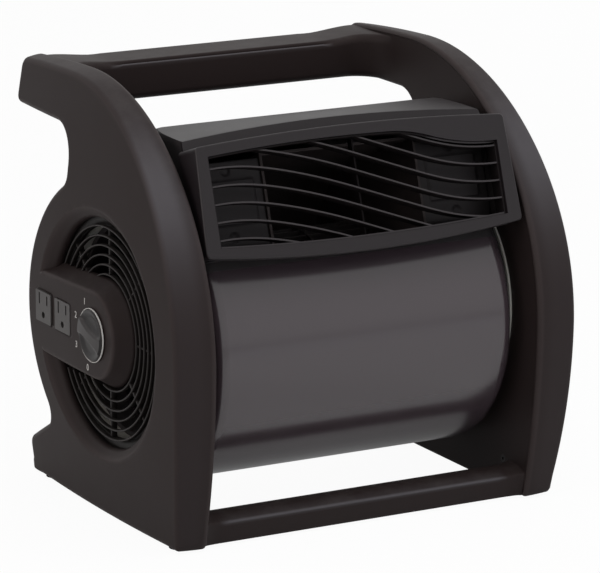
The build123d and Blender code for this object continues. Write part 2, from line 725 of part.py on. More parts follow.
def crossbar(outline):
    """A bar between the panels, open underneath."""
    with BuildPart() as bar:
        with BuildSketch(side_plane(-PANEL_INNER_X)) as section:
            with BuildLine():
                Polyline(*outline, close=True)
            make_face()
            fillet(section.vertices(), BAR_EDGE_R)
        extrude(amount=2 * PANEL_INNER_X)
        with BuildSketch(side_plane(-PANEL_INNER_X + BAR_WALL)) as hollow:
            with BuildLine():
                Polyline(*outline, close=True)
            make_face()
            fillet(hollow.vertices(), BAR_EDGE_R)
            offset(amount=-BAR_WALL, mode=Mode.REPLACE)
            with Locations((outline[0][0] / 2 + outline[3][0] / 2, outline[0][1])):
                Rectangle(outline[3][0] - outline[0][0] - 2 * (BAR_EDGE_R + BAR_WALL), 4 * BAR_WALL)
        extrude(amount=2 * (PANEL_INNER_X - BAR_WALL), mode=Mode.SUBTRACT)
    return bar.part


save(handle_lower_shell.part, "handle_lower_shell")
save(handle_top_cap.part, "handle_top_cap")
save(crossbar(FRONT_BAR), "front_crossbar")
save(crossbar(REAR_BAR), "rear_crossbar")

# ---------------------------------------------------------------- feet, gland and lead

with BuildPart() as rubber_feet:
    with BuildSketch(Plane.XY):
        with Locations((PAD_X, PAD_FRONT_Y), (PAD_X, PAD_REAR_Y)):
            Circle(PAD_R)
    extrude(amount=PAD_T - SEAT_GAP)
    with BuildSketch(Plane.XY):
        with Locations((PAD_X, PAD_FRONT_Y), (PAD_X, PAD_REAR_Y)):
            Circle(PAD_STEM_R)
    extrude(amount=TOE_Z + PANEL_WALL + 1)
    mirror(about=Plane.YZ)

with BuildPart() as cord_gland:
    with Locations(Plane(origin=(GLAND_X, HEEL_Y + GLAND_FLANGE_T, GLAND_Z), z_dir=(0, -1, 0))):
        Cylinder(GLAND_FLANGE_R, GLAND_FLANGE_T - SEAT_GAP, align=UP)
        Cylinder(GLAND_R, GLAND_FLANGE_T + PANEL_WALL + 2, align=UP)
        Cylinder(LEAD_R + SEAT_GAP, GLAND_FLANGE_T + PANEL_WALL + 2, align=UP, mode=Mode.SUBTRACT)

with BuildPart() as control_lead:
    with BuildLine():
        Line(LEAD_START, LEAD_BENDS[0])
        Spline(*LEAD_BENDS, tangents=((0, -1, 0), (0, 0, 1)))
        Line(LEAD_BENDS[-1], LEAD_END)
    with BuildSketch(Plane(origin=LEAD_START, z_dir=(0, -1, 0))):
        Circle(LEAD_R)
    sweep()

save(rubber_feet.part, "rubber_feet")
save(cord_gland.part, "cord_gland")
save(control_lead.part, "control_lead")

# ---------------------------------------------------------------- controls

with BuildPart() as control_box:
    with BuildSketch(pivot_plane(-BOX_FRONT_X)):
        add(BOX_SHAPE)
    extrude(amount=BOX_DEPTH)
    with BuildSketch(pivot_plane(-BOX_FRONT_X)):
        add(BOX_INNER_SHAPE)
    extrude(amount=BOX_DEPTH - BOX_WALL, mode=Mode.SUBTRACT)
    with Locations(LEAD_HOLE):
        Cylinder(LEAD_R + SEAT_GAP, LEAD_HOLE_DEPTH, mode=Mode.SUBTRACT)

with BuildPart() as rotary_switch:
    with Locations(pivot_plane(-BOX_FRONT_X)):
        Cylinder(SWITCH_R, SWITCH_DEPTH, align=UP)
        Cylinder(SPINDLE_R + SPINDLE_CLEARANCE, SWITCH_DEPTH - 2, align=UP, mode=Mode.SUBTRACT)
    with BuildSketch(pivot_plane(-BOX_FRONT_X + SWITCH_DEPTH)):
        with PolarLocations(SWITCH_R / 2, 4):
            Rectangle(1, 4)
    extrude(amount=SWITCH_TAB)

with BuildPart() as switch_spindle:
    with Locations(pivot_plane(-BOX_FRONT_X + SWITCH_DEPTH - 2.5)):
        Cylinder(
            SPINDLE_R,
            KNOB_FACE_X - BOX_FRONT_X + SWITCH_DEPTH - 2.5 + KNOB_BASE / 2,
            align=(Align.CENTER, Align.CENTER, Align.MAX),
        )

with BuildPart() as speed_knob:
    with Locations(pivot_plane(-KNOB_FACE_X)):
        Cylinder(KNOB_R - KNOB_RIM, KNOB_BASE, align=(Align.CENTER, Align.CENTER, Align.MAX))
    with BuildSketch(pivot_plane(-KNOB_FACE_X)):
        with Locations(Location((0, 0), POINTER_DEG)):
            SlotOverall(2 * (KNOB_R - KNOB_RIM), GRIP_WIDTH)
    extrude(amount=-KNOB_RISE)
    with Locations(pivot_plane(-KNOB_FACE_X)):
        Cylinder(
            SPINDLE_R + SEAT_GAP / 2,
            KNOB_BASE / 2 + SEAT_GAP,
            align=(Align.CENTER, Align.CENTER, Align.MAX),
            mode=Mode.SUBTRACT,
        )

with BuildPart() as knob_ring:
    with Locations(pivot_plane(-KNOB_FACE_X)):
        Cylinder(KNOB_R, KNOB_BASE, align=(Align.CENTER, Align.CENTER, Align.MAX))
        Cylinder(
            KNOB_R - KNOB_RIM + SEAT_GAP / 2,
            KNOB_BASE,
            align=(Align.CENTER, Align.CENTER, Align.MAX),
            mode=Mode.SUBTRACT,
        )


def receptacle(spot):
    """One three-prong outlet: a face in the tongue and a body behind it."""
    with BuildPart() as outlet:
        with BuildSketch(side_plane(-TONGUE_FACE_X - SOCKET_PROUD)):
            with Locations(spot):
                RectangleRounded(SOCKET_W, SOCKET_H, SOCKET_CORNER_R)
        extrude(amount=SOCKET_DEPTH)
        with BuildSketch(side_plane(-TONGUE_FACE_X - SOCKET_PROUD)):
            with Locations((spot[0] + BLADE_PITCH / 2, spot[1] + EARTH_DROP / 2)):
                Rectangle(SLOT_WIDTH, NEUTRAL_SLOT)
            with Locations((spot[0] - BLADE_PITCH / 2, spot[1] + EARTH_DROP / 2)):
                Rectangle(SLOT_WIDTH, LINE_SLOT)
            with Locations((spot[0], spot[1] - EARTH_DROP / 2)):
                Circle(EARTH_R)
        extrude(amount=SLOT_DEPTH, mode=Mode.SUBTRACT)
    return outlet.part


save(control_box.part, "control_box")
save(rotary_switch.part, "rotary_switch")
save(switch_spindle.part, "switch_spindle")
save(speed_knob.part, "speed_knob")
save(knob_ring.part, "knob_ring")
save(receptacle(SOCKET_SPOTS[0]), "receptacle_rear")
save(receptacle(SOCKET_SPOTS[1]), "receptacle_front")

# ---------------------------------------------------------------- head shells


def mouth_f(u, push):
    """How far forward the head's slanting mouth lies, at a height along it."""
    return FASCIA_BACK_BOTTOM - (u - FASCIA_BOTTOM) * MOUTH_SLOPE + push


def mouth_top_u(radius, push):
    """Height at which the mouth's slanting line meets the hood's curve."""
    ahead = mouth_f(0, push) - HOOD_F
    a = 1 + MOUTH_SLOPE**2
    b = -2 * (MOUTH_SLOPE * ahead + DRUM_U)
    c = ahead**2 + DRUM_U**2 - radius**2
    return (-b + sqrt(b**2 - 4 * a * c)) / (2 * a)


def head_solid(depth, push):
    """The head's shape drawn in by a depth, with its mouth pushed forward."""
    half = DRUM_HALF - depth
    drum_r = DRUM_R - depth
    hood_r = HOOD_R - depth
    chin_u = CHIN_U + depth
    top_u = mouth_top_u(hood_r, push)
    lip_u = top_u - DRUM_EDGE_R - 1
    meet = radians(HOOD_MEET_DEG)
    rear = (HOOD_F + hood_r * cos(meet), DRUM_U + hood_r * sin(meet))
    hood_mid = (HOOD_F - hood_r * cos(pi / 4), DRUM_U + hood_r * sin(pi / 4))
    crown_z = PIVOT_Z + CROWN_RISE - depth
    side_z = crown_z - PANEL_PEAK_X**2 / (2 * CROWN_R)
    with BuildPart() as hood:
        with BuildSketch(duct_plane(half)):
            with BuildLine():
                ThreePointArc(rear, hood_mid, (mouth_f(top_u, push), top_u))
                Polyline(
                    (mouth_f(top_u, push), top_u),
                    (mouth_f(lip_u, push), lip_u),
                    (DRUM_F, chin_u),
                    (DRUM_F, DRUM_U),
                    rear,
                )
            make_face()
        extrude(amount=2 * half)
        fillet(hood.edges().filter_by(GeomType.CIRCLE), DRUM_EDGE_R - depth)
        with BuildSketch(duct_plane(half)):
            with BuildLine():
                Polyline(
                    (mouth_f(lip_u, push), lip_u),
                    (mouth_f(chin_u, push), chin_u),
                    (DRUM_F, chin_u),
                    close=True,
                )
            make_face()
        extrude(amount=2 * half)
        with BuildSketch(Plane.XZ.offset(-PANEL_PEAK_X)):
            with BuildLine():
                ThreePointArc((-PANEL_PEAK_X, side_z), (0, crown_z), (PANEL_PEAK_X, side_z))
                Polyline(
                    (PANEL_PEAK_X, side_z),
                    (PANEL_PEAK_X, 0),
                    (-PANEL_PEAK_X, 0),
                    (-PANEL_PEAK_X, side_z),
                )
            make_face()
        extrude(amount=2 * PANEL_PEAK_X, mode=Mode.INTERSECT)
    with BuildPart() as body:
        with BuildSketch(duct_plane(half)):
            with Locations((DRUM_F, DRUM_U)):
                Circle(drum_r)
        extrude(amount=2 * half)
        fillet(body.edges().filter_by(GeomType.CIRCLE), DRUM_EDGE_R - depth)
        add(hood.part)
    return body.part


def split_half(side, gap):
    """Everything on one side of the plane where the head's halves meet."""
    reach = 3 * HOOD_R
    along = Vector(cos(radians(SPLIT_DEG)), sin(radians(SPLIT_DEG)))
    across = Vector(-along.Y, along.X) * side
    near = across * gap
    far = across * reach
    corners = [along * reach + near, along * -reach + near, along * -reach + far, along * reach + far]
    with BuildPart() as block:
        with BuildSketch(duct_plane(PANEL_PEAK_X)):
            with BuildLine():
                Polyline(*[(corner.X, corner.Y) for corner in corners], close=True)
            make_face()
        extrude(amount=2 * PANEL_PEAK_X)
    return block.part


HEAD_OUTER = head_solid(0, 0)
HEAD_INNER = head_solid(HEAD_WALL, MOUTH_PUSH)
SPLIT_AHEAD = Vector(0, -cos(radians(SPLIT_DEG + TILT_DEG)), sin(radians(SPLIT_DEG + TILT_DEG)))
SPLIT_DOWN = Vector(0, -SPLIT_AHEAD.Z, SPLIT_AHEAD.Y)
SCREW_PLACES = [
    Plane(origin=PIVOT + SPLIT_AHEAD * SHELL_SCREW_REAR + Vector(x, 0, 0), z_dir=SPLIT_DOWN)
    for x in (-SHELL_SCREW_X, SHELL_SCREW_X)
]
MIDDLE = (Align.CENTER, Align.CENTER, Align.CENTER)

with BuildPart() as shell_bosses:
    with Locations(*SCREW_PLACES):
        Box(SHELL_BOSS_W, SHELL_BOSS_W, SHELL_BOSS_LENGTH, align=MIDDLE)
    add(HEAD_OUTER, mode=Mode.INTERSECT)

with BuildPart() as head_shell:
    add(HEAD_OUTER)
    add(HEAD_INNER, mode=Mode.SUBTRACT)
    add(shell_bosses.part)
    with Locations(pivot_plane(-DRUM_HALF - 1)):
        Cylinder(RING_BORE_R, 2 * DRUM_HALF + 2, align=UP, mode=Mode.SUBTRACT)
    with Locations(*SCREW_PLACES):
        Cylinder(SCREW_R + SEAT_GAP, SHELL_BOSS_LENGTH - 4, align=MIDDLE, mode=Mode.SUBTRACT)

with BuildPart() as head_upper_shell:
    add(head_shell.part)
    add(split_half(1, SEAT_GAP / 2), mode=Mode.INTERSECT)

with BuildPart() as head_lower_shell:
    add(head_shell.part)
    add(split_half(-1, SEAT_GAP / 2), mode=Mode.INTERSECT)
    # Screw holes with wells that reach them from outside.
    with Locations(*SCREW_PLACES):
        Cylinder(SCREW_R + 2 * SEAT_GAP, SHELL_BOSS_LENGTH, align=UP, mode=Mode.SUBTRACT)
    with Locations(*[place.offset(SHELL_BOSS_LENGTH / 2 - SCREW_HEAD_T) for place in SCREW_PLACES]):
        Cylinder(SCREW_HEAD_R + FIT_GAP, 2 * DRUM_R, align=UP, mode=Mode.SUBTRACT)

with BuildPart() as shell_screws:
    with Locations(*[place.offset(SHELL_BOSS_LENGTH / 2 - SCREW_HEAD_T + SEAT_GAP) for place in SCREW_PLACES]):
        Cylinder(SCREW_HEAD_R, SCREW_HEAD_T, align=UP)
        Cylinder(DRIVE_R, SCREW_HEAD_T, align=(Align.CENTER, Align.CENTER, Align.MIN), mode=Mode.SUBTRACT)
        Cylinder(SCREW_R, SHELL_BOSS_LENGTH - 8, align=(Align.CENTER, Align.CENTER, Align.MAX))

with BuildPart() as pivot_ring_right:
    with Locations(pivot_plane(DRUM_HALF + SEAT_GAP)):
        Cylinder(BUSH_FLANGE_R, RING_FLANGE_T, align=UP)
        Cylinder(BUSH_FLANGE_R - 2, RING_SHOULDER, align=UP)
        Cylinder(JOURNAL_R, RING_LENGTH, align=UP)
        Cylinder(RING_BORE_R, RING_LENGTH, align=UP, mode=Mode.SUBTRACT)

with BuildPart() as pivot_ring_left:
    add(pivot_ring_right.part)
    mirror(about=Plane.YZ, mode=Mode.REPLACE)

save(head_upper_shell.part, "head_upper_shell")
save(head_lower_shell.part, "head_lower_shell")
save(shell_screws.part, "shell_screws")
save(pivot_ring_right.part, "pivot_ring_right")
save(pivot_ring_left.part, "pivot_ring_left")

# ---------------------------------------------------------------- fascia and louvres


def fascia_outline(inset):
    """Front view of the fascia, drawn in by an inset."""
    with BuildSketch() as outline:
        with BuildLine():
            ThreePointArc(
                (-FASCIA_TOP_HALF, FASCIA_TOP),
                (0, FASCIA_TOP + FASCIA_TOP_BOW),
                (FASCIA_TOP_HALF, FASCIA_TOP),
            )
            Line((FASCIA_TOP_HALF, FASCIA_TOP), (FASCIA_BOTTOM_HALF, FASCIA_BOTTOM))
            ThreePointArc(
                (FASCIA_BOTTOM_HALF, FASCIA_BOTTOM),
                (0, FASCIA_BOTTOM - FASCIA_BOTTOM_BOW),
                (-FASCIA_BOTTOM_HALF, FASCIA_BOTTOM),
            )
            Line((-FASCIA_BOTTOM_HALF, FASCIA_BOTTOM), (-FASCIA_TOP_HALF, FASCIA_TOP))
        make_face()
        fillet(outline.vertices(), FASCIA_CORNER_R)
        if inset:
            offset(amount=-inset, mode=Mode.REPLACE)
    return outline.sketch


def window_outline(grow):
    """Front view of the fascia's window, whose top dips towards the right."""
    with BuildSketch() as outline:
        with BuildLine():
            crest = ThreePointArc((-WINDOW_HALF, WINDOW_TOP_LEFT), WINDOW_CREST, WINDOW_CREST_END)
            fall = TangentArc(WINDOW_CREST_END, WINDOW_FALL, tangent=crest % 1)
            dip = TangentArc(WINDOW_FALL, (WINDOW_HALF, WINDOW_TOP_RIGHT), tangent=fall % 1)
            Line(dip @ 1, (WINDOW_HALF, WINDOW_BOTTOM))
            ThreePointArc(
                (WINDOW_HALF, WINDOW_BOTTOM),
                (0, WINDOW_BOTTOM - WINDOW_BOW),
                (-WINDOW_HALF, WINDOW_BOTTOM),
            )
            Line((-WINDOW_HALF, WINDOW_BOTTOM), crest @ 0)
        make_face()
        if grow:
            offset(amount=grow, kind=Kind.INTERSECTION, mode=Mode.REPLACE)
    return outline.sketch


FASCIA_SHAPE = fascia_outline(0)
FASCIA_INNER_SHAPE = fascia_outline(FASCIA_WALL)
WINDOW_SHAPE = window_outline(0)
LOUVRE_SHAPE = window_outline(-FIT_GAP)
LOUVRE_HOLE_SHAPE = window_outline(-FIT_GAP - LOUVRE_T)
LOUVRE_FLANGE_SHAPE = window_outline(LOUVRE_FLANGE)

def mouth_slab(near, far):
    """A slanting slab in front of the head's mouth, between two distances from it."""
    with BuildPart() as slab:
        with BuildSketch(duct_plane(PANEL_PEAK_X)):
            with BuildLine():
                Polyline(
                    (mouth_f(0, near), 0),
                    (mouth_f(HOOD_R, near), HOOD_R),
                    (mouth_f(HOOD_R, far), HOOD_R),
                    (mouth_f(0, far), 0),
                    close=True,
                )
            make_face()
        extrude(amount=2 * PANEL_PEAK_X)
    return slab.part


# Flange on the fascia's back: it reaches up behind the hood's edge and in to the head's sides.
with BuildPart() as fascia_flange:
    add(head_solid(0, FASCIA_FLANGE_T + 1))
    with BuildSketch(outlet_plane(FASCIA_BACK_TOP - 10)):
        add(FASCIA_SHAPE)
    extrude(amount=FASCIA_FRONT - FASCIA_BACK_TOP)
    add(mouth_slab(SEAT_GAP, FASCIA_FLANGE_T + SEAT_GAP), mode=Mode.INTERSECT)
    with BuildSketch(outlet_plane(0)):
        with Locations((0, (FASCIA_THROAT_LOW + FASCIA_THROAT_HIGH) / 2)):
            Rectangle(2 * FASCIA_THROAT_HALF, FASCIA_THROAT_HIGH - FASCIA_THROAT_LOW)
    extrude(amount=FASCIA_FRONT, mode=Mode.SUBTRACT)

with BuildPart() as fascia:
    with BuildSketch(outlet_plane(FASCIA_BACK_TOP - 10)):
        add(FASCIA_SHAPE)
    extrude(amount=FASCIA_FRONT - FASCIA_BACK_TOP + 10)
    fillet(fascia.faces().sort_by(Axis(PIVOT, outlet_plane(0).z_dir))[-1].edges(), FASCIA_EDGE_R)
    with BuildSketch(outlet_plane(FASCIA_BACK_TOP - 11)):
        add(FASCIA_INNER_SHAPE)
    extrude(amount=FASCIA_FRONT - FASCIA_FACE_T - FASCIA_BACK_TOP + 11, mode=Mode.SUBTRACT)
    with BuildSketch(outlet_plane(FASCIA_FRONT - FASCIA_FACE_T - 1)):
        add(WINDOW_SHAPE)
    extrude(amount=FASCIA_FACE_T + 2, mode=Mode.SUBTRACT)
    # The back edge slants to meet the head's mouth.
    with BuildSketch(duct_plane(PANEL_PEAK_X)):
        with BuildLine():
            Polyline(
                (mouth_f(0, SEAT_GAP), 0),
                (mouth_f(HOOD_R, SEAT_GAP), HOOD_R),
                (0, HOOD_R),
                (0, 0),
                close=True,
            )
        make_face()
    extrude(amount=2 * PANEL_PEAK_X, mode=Mode.SUBTRACT)
    add(fascia_flange.part)

with BuildPart() as louvre_bars:
    for step in range(-LOUVRES_BELOW, LOUVRES_ABOVE + 1):
        rise = step * LOUVRE_PITCH
        with BuildSketch(outlet_plane(LOUVRE_BACK)):
            with BuildLine():
                Spline(*[(x, u + rise) for x, u in LOUVRE_WAVE])
                Line(
                    (LOUVRE_WAVE[-1][0], LOUVRE_WAVE[-1][1] + rise),
                    (LOUVRE_WAVE[-1][0], LOUVRE_WAVE[-1][1] + rise - LOUVRE_T),
                )
                Spline(*[(x, u + rise - LOUVRE_T) for x, u in LOUVRE_WAVE])
                Line(
                    (LOUVRE_WAVE[0][0], LOUVRE_WAVE[0][1] + rise),
                    (LOUVRE_WAVE[0][0], LOUVRE_WAVE[0][1] + rise - LOUVRE_T),
                )
            make_face()
        extrude(amount=LOUVRE_FRONT - LOUVRE_BACK)
    with BuildSketch(outlet_plane(LOUVRE_BACK - RIB_DEPTH)):
        with Locations((RIB_X, (FASCIA_TOP + FASCIA_BOTTOM) / 2)):
            Rectangle(RIB_T, FASCIA_TOP)
    extrude(amount=RIB_DEPTH + 1)
    with BuildSketch(outlet_plane(LOUVRE_BACK - RIB_DEPTH)):
        add(LOUVRE_SHAPE)
    extrude(amount=LOUVRE_FRONT - LOUVRE_BACK + RIB_DEPTH, mode=Mode.INTERSECT)

with BuildPart() as louvre_grille:
    with BuildSketch(outlet_plane(LOUVRE_BACK)):
        add(LOUVRE_SHAPE)
        add(LOUVRE_HOLE_SHAPE, mode=Mode.SUBTRACT)
    extrude(amount=LOUVRE_FRONT - LOUVRE_BACK)
    with BuildSketch(outlet_plane(FASCIA_FRONT - FASCIA_FACE_T - LOUVRE_FLANGE_T - SEAT_GAP)):
        add(LOUVRE_FLANGE_SHAPE)
        add(LOUVRE_HOLE_SHAPE, mode=Mode.SUBTRACT)
    extrude(amount=LOUVRE_FLANGE_T)
    add(louvre_bars.part)

save(fascia.part, "fascia")
save(louvre_grille.part, "louvre_grille")

# ---------------------------------------------------------------- scroll and baffles


def spiral_point(turn, inset):
    """A point on the scroll, a number of degrees round from its cutoff."""
    angle = radians(SCROLL_CUTOFF_DEG - turn)
    radius = SCROLL_START_R + turn * SCROLL_GROWTH - inset
    return (radius * cos(angle), radius * sin(angle))


def scroll_outline(inset):
    """Side view of the scroll and its mouth, drawn in by an inset."""
    spiral = [spiral_point(SCROLL_TURN * step / SPIRAL_STEPS, inset) for step in range(SPIRAL_STEPS + 1)]
    with BuildSketch() as outline:
        with BuildLine():
            Spline(*spiral)
            Polyline(
                spiral[-1],
                (MOUTH_F + inset, MOUTH_TOP_U - inset),
                (MOUTH_F + inset, MOUTH_LIP_U + inset),
                spiral[0],
            )
        make_face()
    return outline.sketch


SCROLL_SHAPE = scroll_outline(0)
SCROLL_INNER_SHAPE = scroll_outline(SCROLL_WALL)

with BuildPart() as scroll_housing:
    with BuildSketch(duct_plane(SCROLL_HALF)):
        add(SCROLL_SHAPE)
    extrude(amount=2 * SCROLL_HALF)
    with BuildSketch(duct_plane(SCROLL_HALF - SCROLL_WALL)):
        add(SCROLL_INNER_SHAPE)
    extrude(amount=2 * (SCROLL_HALF - SCROLL_WALL), mode=Mode.SUBTRACT)
    with Locations(pivot_plane(-SCROLL_HALF - 1)):
        Cylinder(SCROLL_INLET_R, 2 * SCROLL_HALF + 2, align=UP, mode=Mode.SUBTRACT)

with BuildPart() as scroll_inlet_right:
    with Locations(pivot_plane(SCROLL_HALF + SEAT_GAP)):
        Cylinder(SCROLL_INLET_R + INLET_LIP, INLET_RING_T, align=UP)
    with Locations(pivot_plane(SCROLL_HALF - INLET_RING_REACH)):
        Cylinder(SCROLL_INLET_R - 2 * SEAT_GAP, INLET_RING_REACH + INLET_RING_T, align=UP)
        Cylinder(
            SCROLL_INLET_R - INLET_RING_T,
            INLET_RING_REACH + 2 * INLET_RING_T,
            align=UP,
            mode=Mode.SUBTRACT,
        )

with BuildPart() as scroll_inlet_left:
    add(scroll_inlet_right.part)
    mirror(about=Plane.YZ, mode=Mode.REPLACE)

with BuildPart() as baffle_right:
    with BuildSketch(outlet_plane(BAFFLE_F)):
        with Locations(((BAFFLE_NEAR_X + BAFFLE_FAR_X) / 2, (BAFFLE_LOW + BAFFLE_HIGH) / 2)):
            Rectangle(BAFFLE_FAR_X - BAFFLE_NEAR_X, BAFFLE_HIGH - BAFFLE_LOW)
    extrude(amount=BAFFLE_T)
    # A raised middle, a folded tab and two screw notches.
    with BuildSketch(outlet_plane(BAFFLE_F + BAFFLE_T)):
        with Locations(((BAFFLE_NEAR_X + BAFFLE_FAR_X) / 2, (BAFFLE_LOW + BAFFLE_HIGH) / 2 + 4)):
            Rectangle((BAFFLE_FAR_X - BAFFLE_NEAR_X) * 0.7, (BAFFLE_HIGH - BAFFLE_LOW) * 0.4)
    extrude(amount=BAFFLE_T)
    with BuildSketch(outlet_plane(BAFFLE_F - BAFFLE_TAB)):
        with Locations((BAFFLE_NEAR_X + BAFFLE_T / 2, (BAFFLE_LOW + BAFFLE_HIGH) / 2)):
            Rectangle(BAFFLE_T, (BAFFLE_HIGH - BAFFLE_LOW) * 0.8)
    extrude(amount=BAFFLE_TAB + 1)
    with BuildSketch(outlet_plane(BAFFLE_F)):
        with Locations(
            ((BAFFLE_NEAR_X + BAFFLE_FAR_X) / 2, BAFFLE_HIGH),
            ((BAFFLE_NEAR_X + BAFFLE_FAR_X) / 2, BAFFLE_LOW),
        ):
            Circle(BAFFLE_NOTCH_R)
    extrude(amount=3 * BAFFLE_T, mode=Mode.SUBTRACT)

with BuildPart() as baffle_left:
    add(baffle_right.part)
    mirror(about=Plane.YZ, mode=Mode.REPLACE)

save(scroll_housing.part, "scroll_housing")
save(scroll_inlet_right.part, "scroll_inlet_right")
save(scroll_inlet_left.part, "scroll_inlet_left")
save(baffle_right.part, "baffle_right")
save(baffle_left.part, "baffle_left")

# ---------------------------------------------------------------- blower wheel

with BuildPart() as blower_wheel:
    with BuildSketch(pivot_plane(-WHEEL_HALF)):
        with PolarLocations((WHEEL_R + WHEEL_INNER_R) / 2, WHEEL_BLADES):
            with Locations(Location((0, 0), BLADE_LEAN_DEG)):
                Rectangle(WHEEL_R - WHEEL_INNER_R, BLADE_T)
    extrude(amount=2 * WHEEL_HALF)
    for end_x in (-WHEEL_HALF, WHEEL_HALF - WHEEL_RING_T):
        with BuildSketch(pivot_plane(end_x)):
            Circle(WHEEL_R)
            Circle(WHEEL_INNER_R, mode=Mode.SUBTRACT)
        extrude(amount=WHEEL_RING_T)
    with BuildSketch(pivot_plane(-WHEEL_RING_T / 2)):
        Circle(WHEEL_R)
        with PolarLocations(WHEEL_INNER_R * 0.6, WHEEL_HOLES):
            Circle(WHEEL_HOLE_R, mode=Mode.SUBTRACT)
    extrude(amount=WHEEL_RING_T)
    with Locations(pivot_plane(-HUB_LENGTH / 2)):
        Cylinder(HUB_R, HUB_LENGTH, align=UP)
        Cylinder(SHAFT_R + SEAT_GAP / 2, HUB_LENGTH, align=UP, mode=Mode.SUBTRACT)

with BuildPart() as motor_shaft:
    with Locations(pivot_plane(-HUB_LENGTH / 2 - 2)):
        Cylinder(
            SHAFT_R,
            MOTOR_X + MOTOR_LENGTH - BELL_WALL - 1 + HUB_LENGTH / 2 + 2,
            align=UP,
        )

with BuildPart() as motor_rotor:
    with Locations(pivot_plane(MOTOR_X + BELL_LENGTH + 2)):
        Cylinder(ROTOR_R, MOTOR_LENGTH - 2 * BELL_LENGTH - 4, align=UP)
        Cylinder(
            SHAFT_R + SEAT_GAP / 2,
            MOTOR_LENGTH - 2 * BELL_LENGTH - 4,
            align=UP,
            mode=Mode.SUBTRACT,
        )

save(blower_wheel.part, "blower_wheel")
save(motor_shaft.part, "motor_shaft")
save(motor_rotor.part, "motor_rotor")

# ---------------------------------------------------------------- motor


def motor_bell(x, outward):
    """End bell of the motor: a cup with a bearing seat, its closed end facing away."""
    closed_x = x if outward < 0 else x + BELL_LENGTH - BELL_WALL
    open_x = x + BELL_WALL if outward < 0 else x
    with BuildPart() as bell:
        with Locations(pivot_plane(x)):
            Cylinder(MOTOR_R, BELL_LENGTH, align=UP)
        with Locations(pivot_plane(open_x)):
            Cylinder(MOTOR_R - BELL_WALL, BELL_LENGTH - BELL_WALL, align=UP, mode=Mode.SUBTRACT)
            Cylinder(BEARING_R + BELL_WALL, BELL_LENGTH - BELL_WALL, align=UP)
            Cylinder(BEARING_R + SEAT_GAP, BELL_LENGTH - BELL_WALL, align=UP, mode=Mode.SUBTRACT)
        if outward < 0:
            with Locations(pivot_plane(closed_x)):
                Cylinder(SHAFT_R + FIT_GAP, BELL_WALL, align=UP, mode=Mode.SUBTRACT)
    return bell.part


def bearing(x):
    """One plain bearing sleeve round the shaft."""
    with BuildPart() as sleeve:
        with Locations(pivot_plane(x)):
            Cylinder(BEARING_R, BEARING_LENGTH, align=UP)
            Cylinder(SHAFT_R + SHAFT_CLEARANCE, BEARING_LENGTH, align=UP, mode=Mode.SUBTRACT)
    return sleeve.part


with BuildPart() as motor_can:
    with Locations(pivot_plane(MOTOR_X + BELL_LENGTH + SEAT_GAP)):
        Cylinder(MOTOR_R, MOTOR_LENGTH - 2 * (BELL_LENGTH + SEAT_GAP), align=UP)
        Cylinder(MOTOR_R - CAN_WALL, MOTOR_LENGTH, align=UP, mode=Mode.SUBTRACT)

with BuildPart() as motor_stator:
    with Locations(pivot_plane(MOTOR_X + BELL_LENGTH + 2)):
        Cylinder(MOTOR_R - CAN_WALL - SEAT_GAP, MOTOR_LENGTH - 2 * BELL_LENGTH - 4, align=UP)
        Cylinder(ROTOR_R + ROTOR_GAP, MOTOR_LENGTH, align=UP, mode=Mode.SUBTRACT)
    with BuildSketch(pivot_plane(MOTOR_X + BELL_LENGTH + 2)):
        with PolarLocations(ROTOR_R + STATOR_SLOT / 2 + 1, STATOR_SLOTS):
            Rectangle(STATOR_SLOT, STATOR_SLOT / 3)
    extrude(amount=MOTOR_LENGTH, mode=Mode.SUBTRACT)

with BuildPart() as motor_bracket:
    with Locations(pivot_plane(BRACKET_X)):
        Cylinder(MOTOR_R + BRACKET_T + SEAT_GAP, BRACKET_WIDTH, align=UP)
    with BuildSketch(pivot_plane(BRACKET_X)):
        with PolarLocations((MOTOR_R + BRACKET_FOOT_R) / 2, BRACKET_ARMS, start_angle=BRACKET_START):
            Rectangle(BRACKET_FOOT_R - MOTOR_R, BRACKET_WIDTH)
    extrude(amount=BRACKET_T)
    with BuildSketch(pivot_plane(SCROLL_HALF + SEAT_GAP)):
        with PolarLocations(BRACKET_FOOT_R, BRACKET_ARMS, start_angle=BRACKET_START):
            Rectangle(2 * BRACKET_T, BRACKET_WIDTH)
    extrude(amount=BRACKET_X - SCROLL_HALF - SEAT_GAP + BRACKET_T)
    with Locations(pivot_plane(SCROLL_HALF)):
        Cylinder(MOTOR_R + SEAT_GAP, MOTOR_LENGTH, align=UP, mode=Mode.SUBTRACT)

with BuildPart() as run_capacitor:
    with Locations(duct_plane(-SCROLL_HALF - SEAT_GAP)):
        with Locations(CAPACITOR_SPOT):
            Cylinder(CAPACITOR_R, CAPACITOR_LENGTH, align=UP)
    fillet(run_capacitor.faces().sort_by(Axis.X)[0].edges(), CAPACITOR_EDGE_R)
    with Locations(duct_plane(-SCROLL_HALF - SEAT_GAP - CAPACITOR_LENGTH)):
        with Locations(CAPACITOR_SPOT):
            with GridLocations(CAPACITOR_R, CAPACITOR_R, 2, 1):
                Box(1, 5, 7, align=UP)

save(motor_bell(MOTOR_X, -1), "motor_bell_inner")
save(motor_bell(MOTOR_X + MOTOR_LENGTH - BELL_LENGTH, 1), "motor_bell_outer")
save(bearing(MOTOR_X + BELL_WALL), "bearing_inner")
save(bearing(MOTOR_X + MOTOR_LENGTH - BELL_WALL - BEARING_LENGTH), "bearing_outer")
save(motor_can.part, "motor_can")
save(motor_stator.part, "motor_stator")
save(motor_bracket.part, "motor_bracket")
save(run_capacitor.part, "run_capacitor")
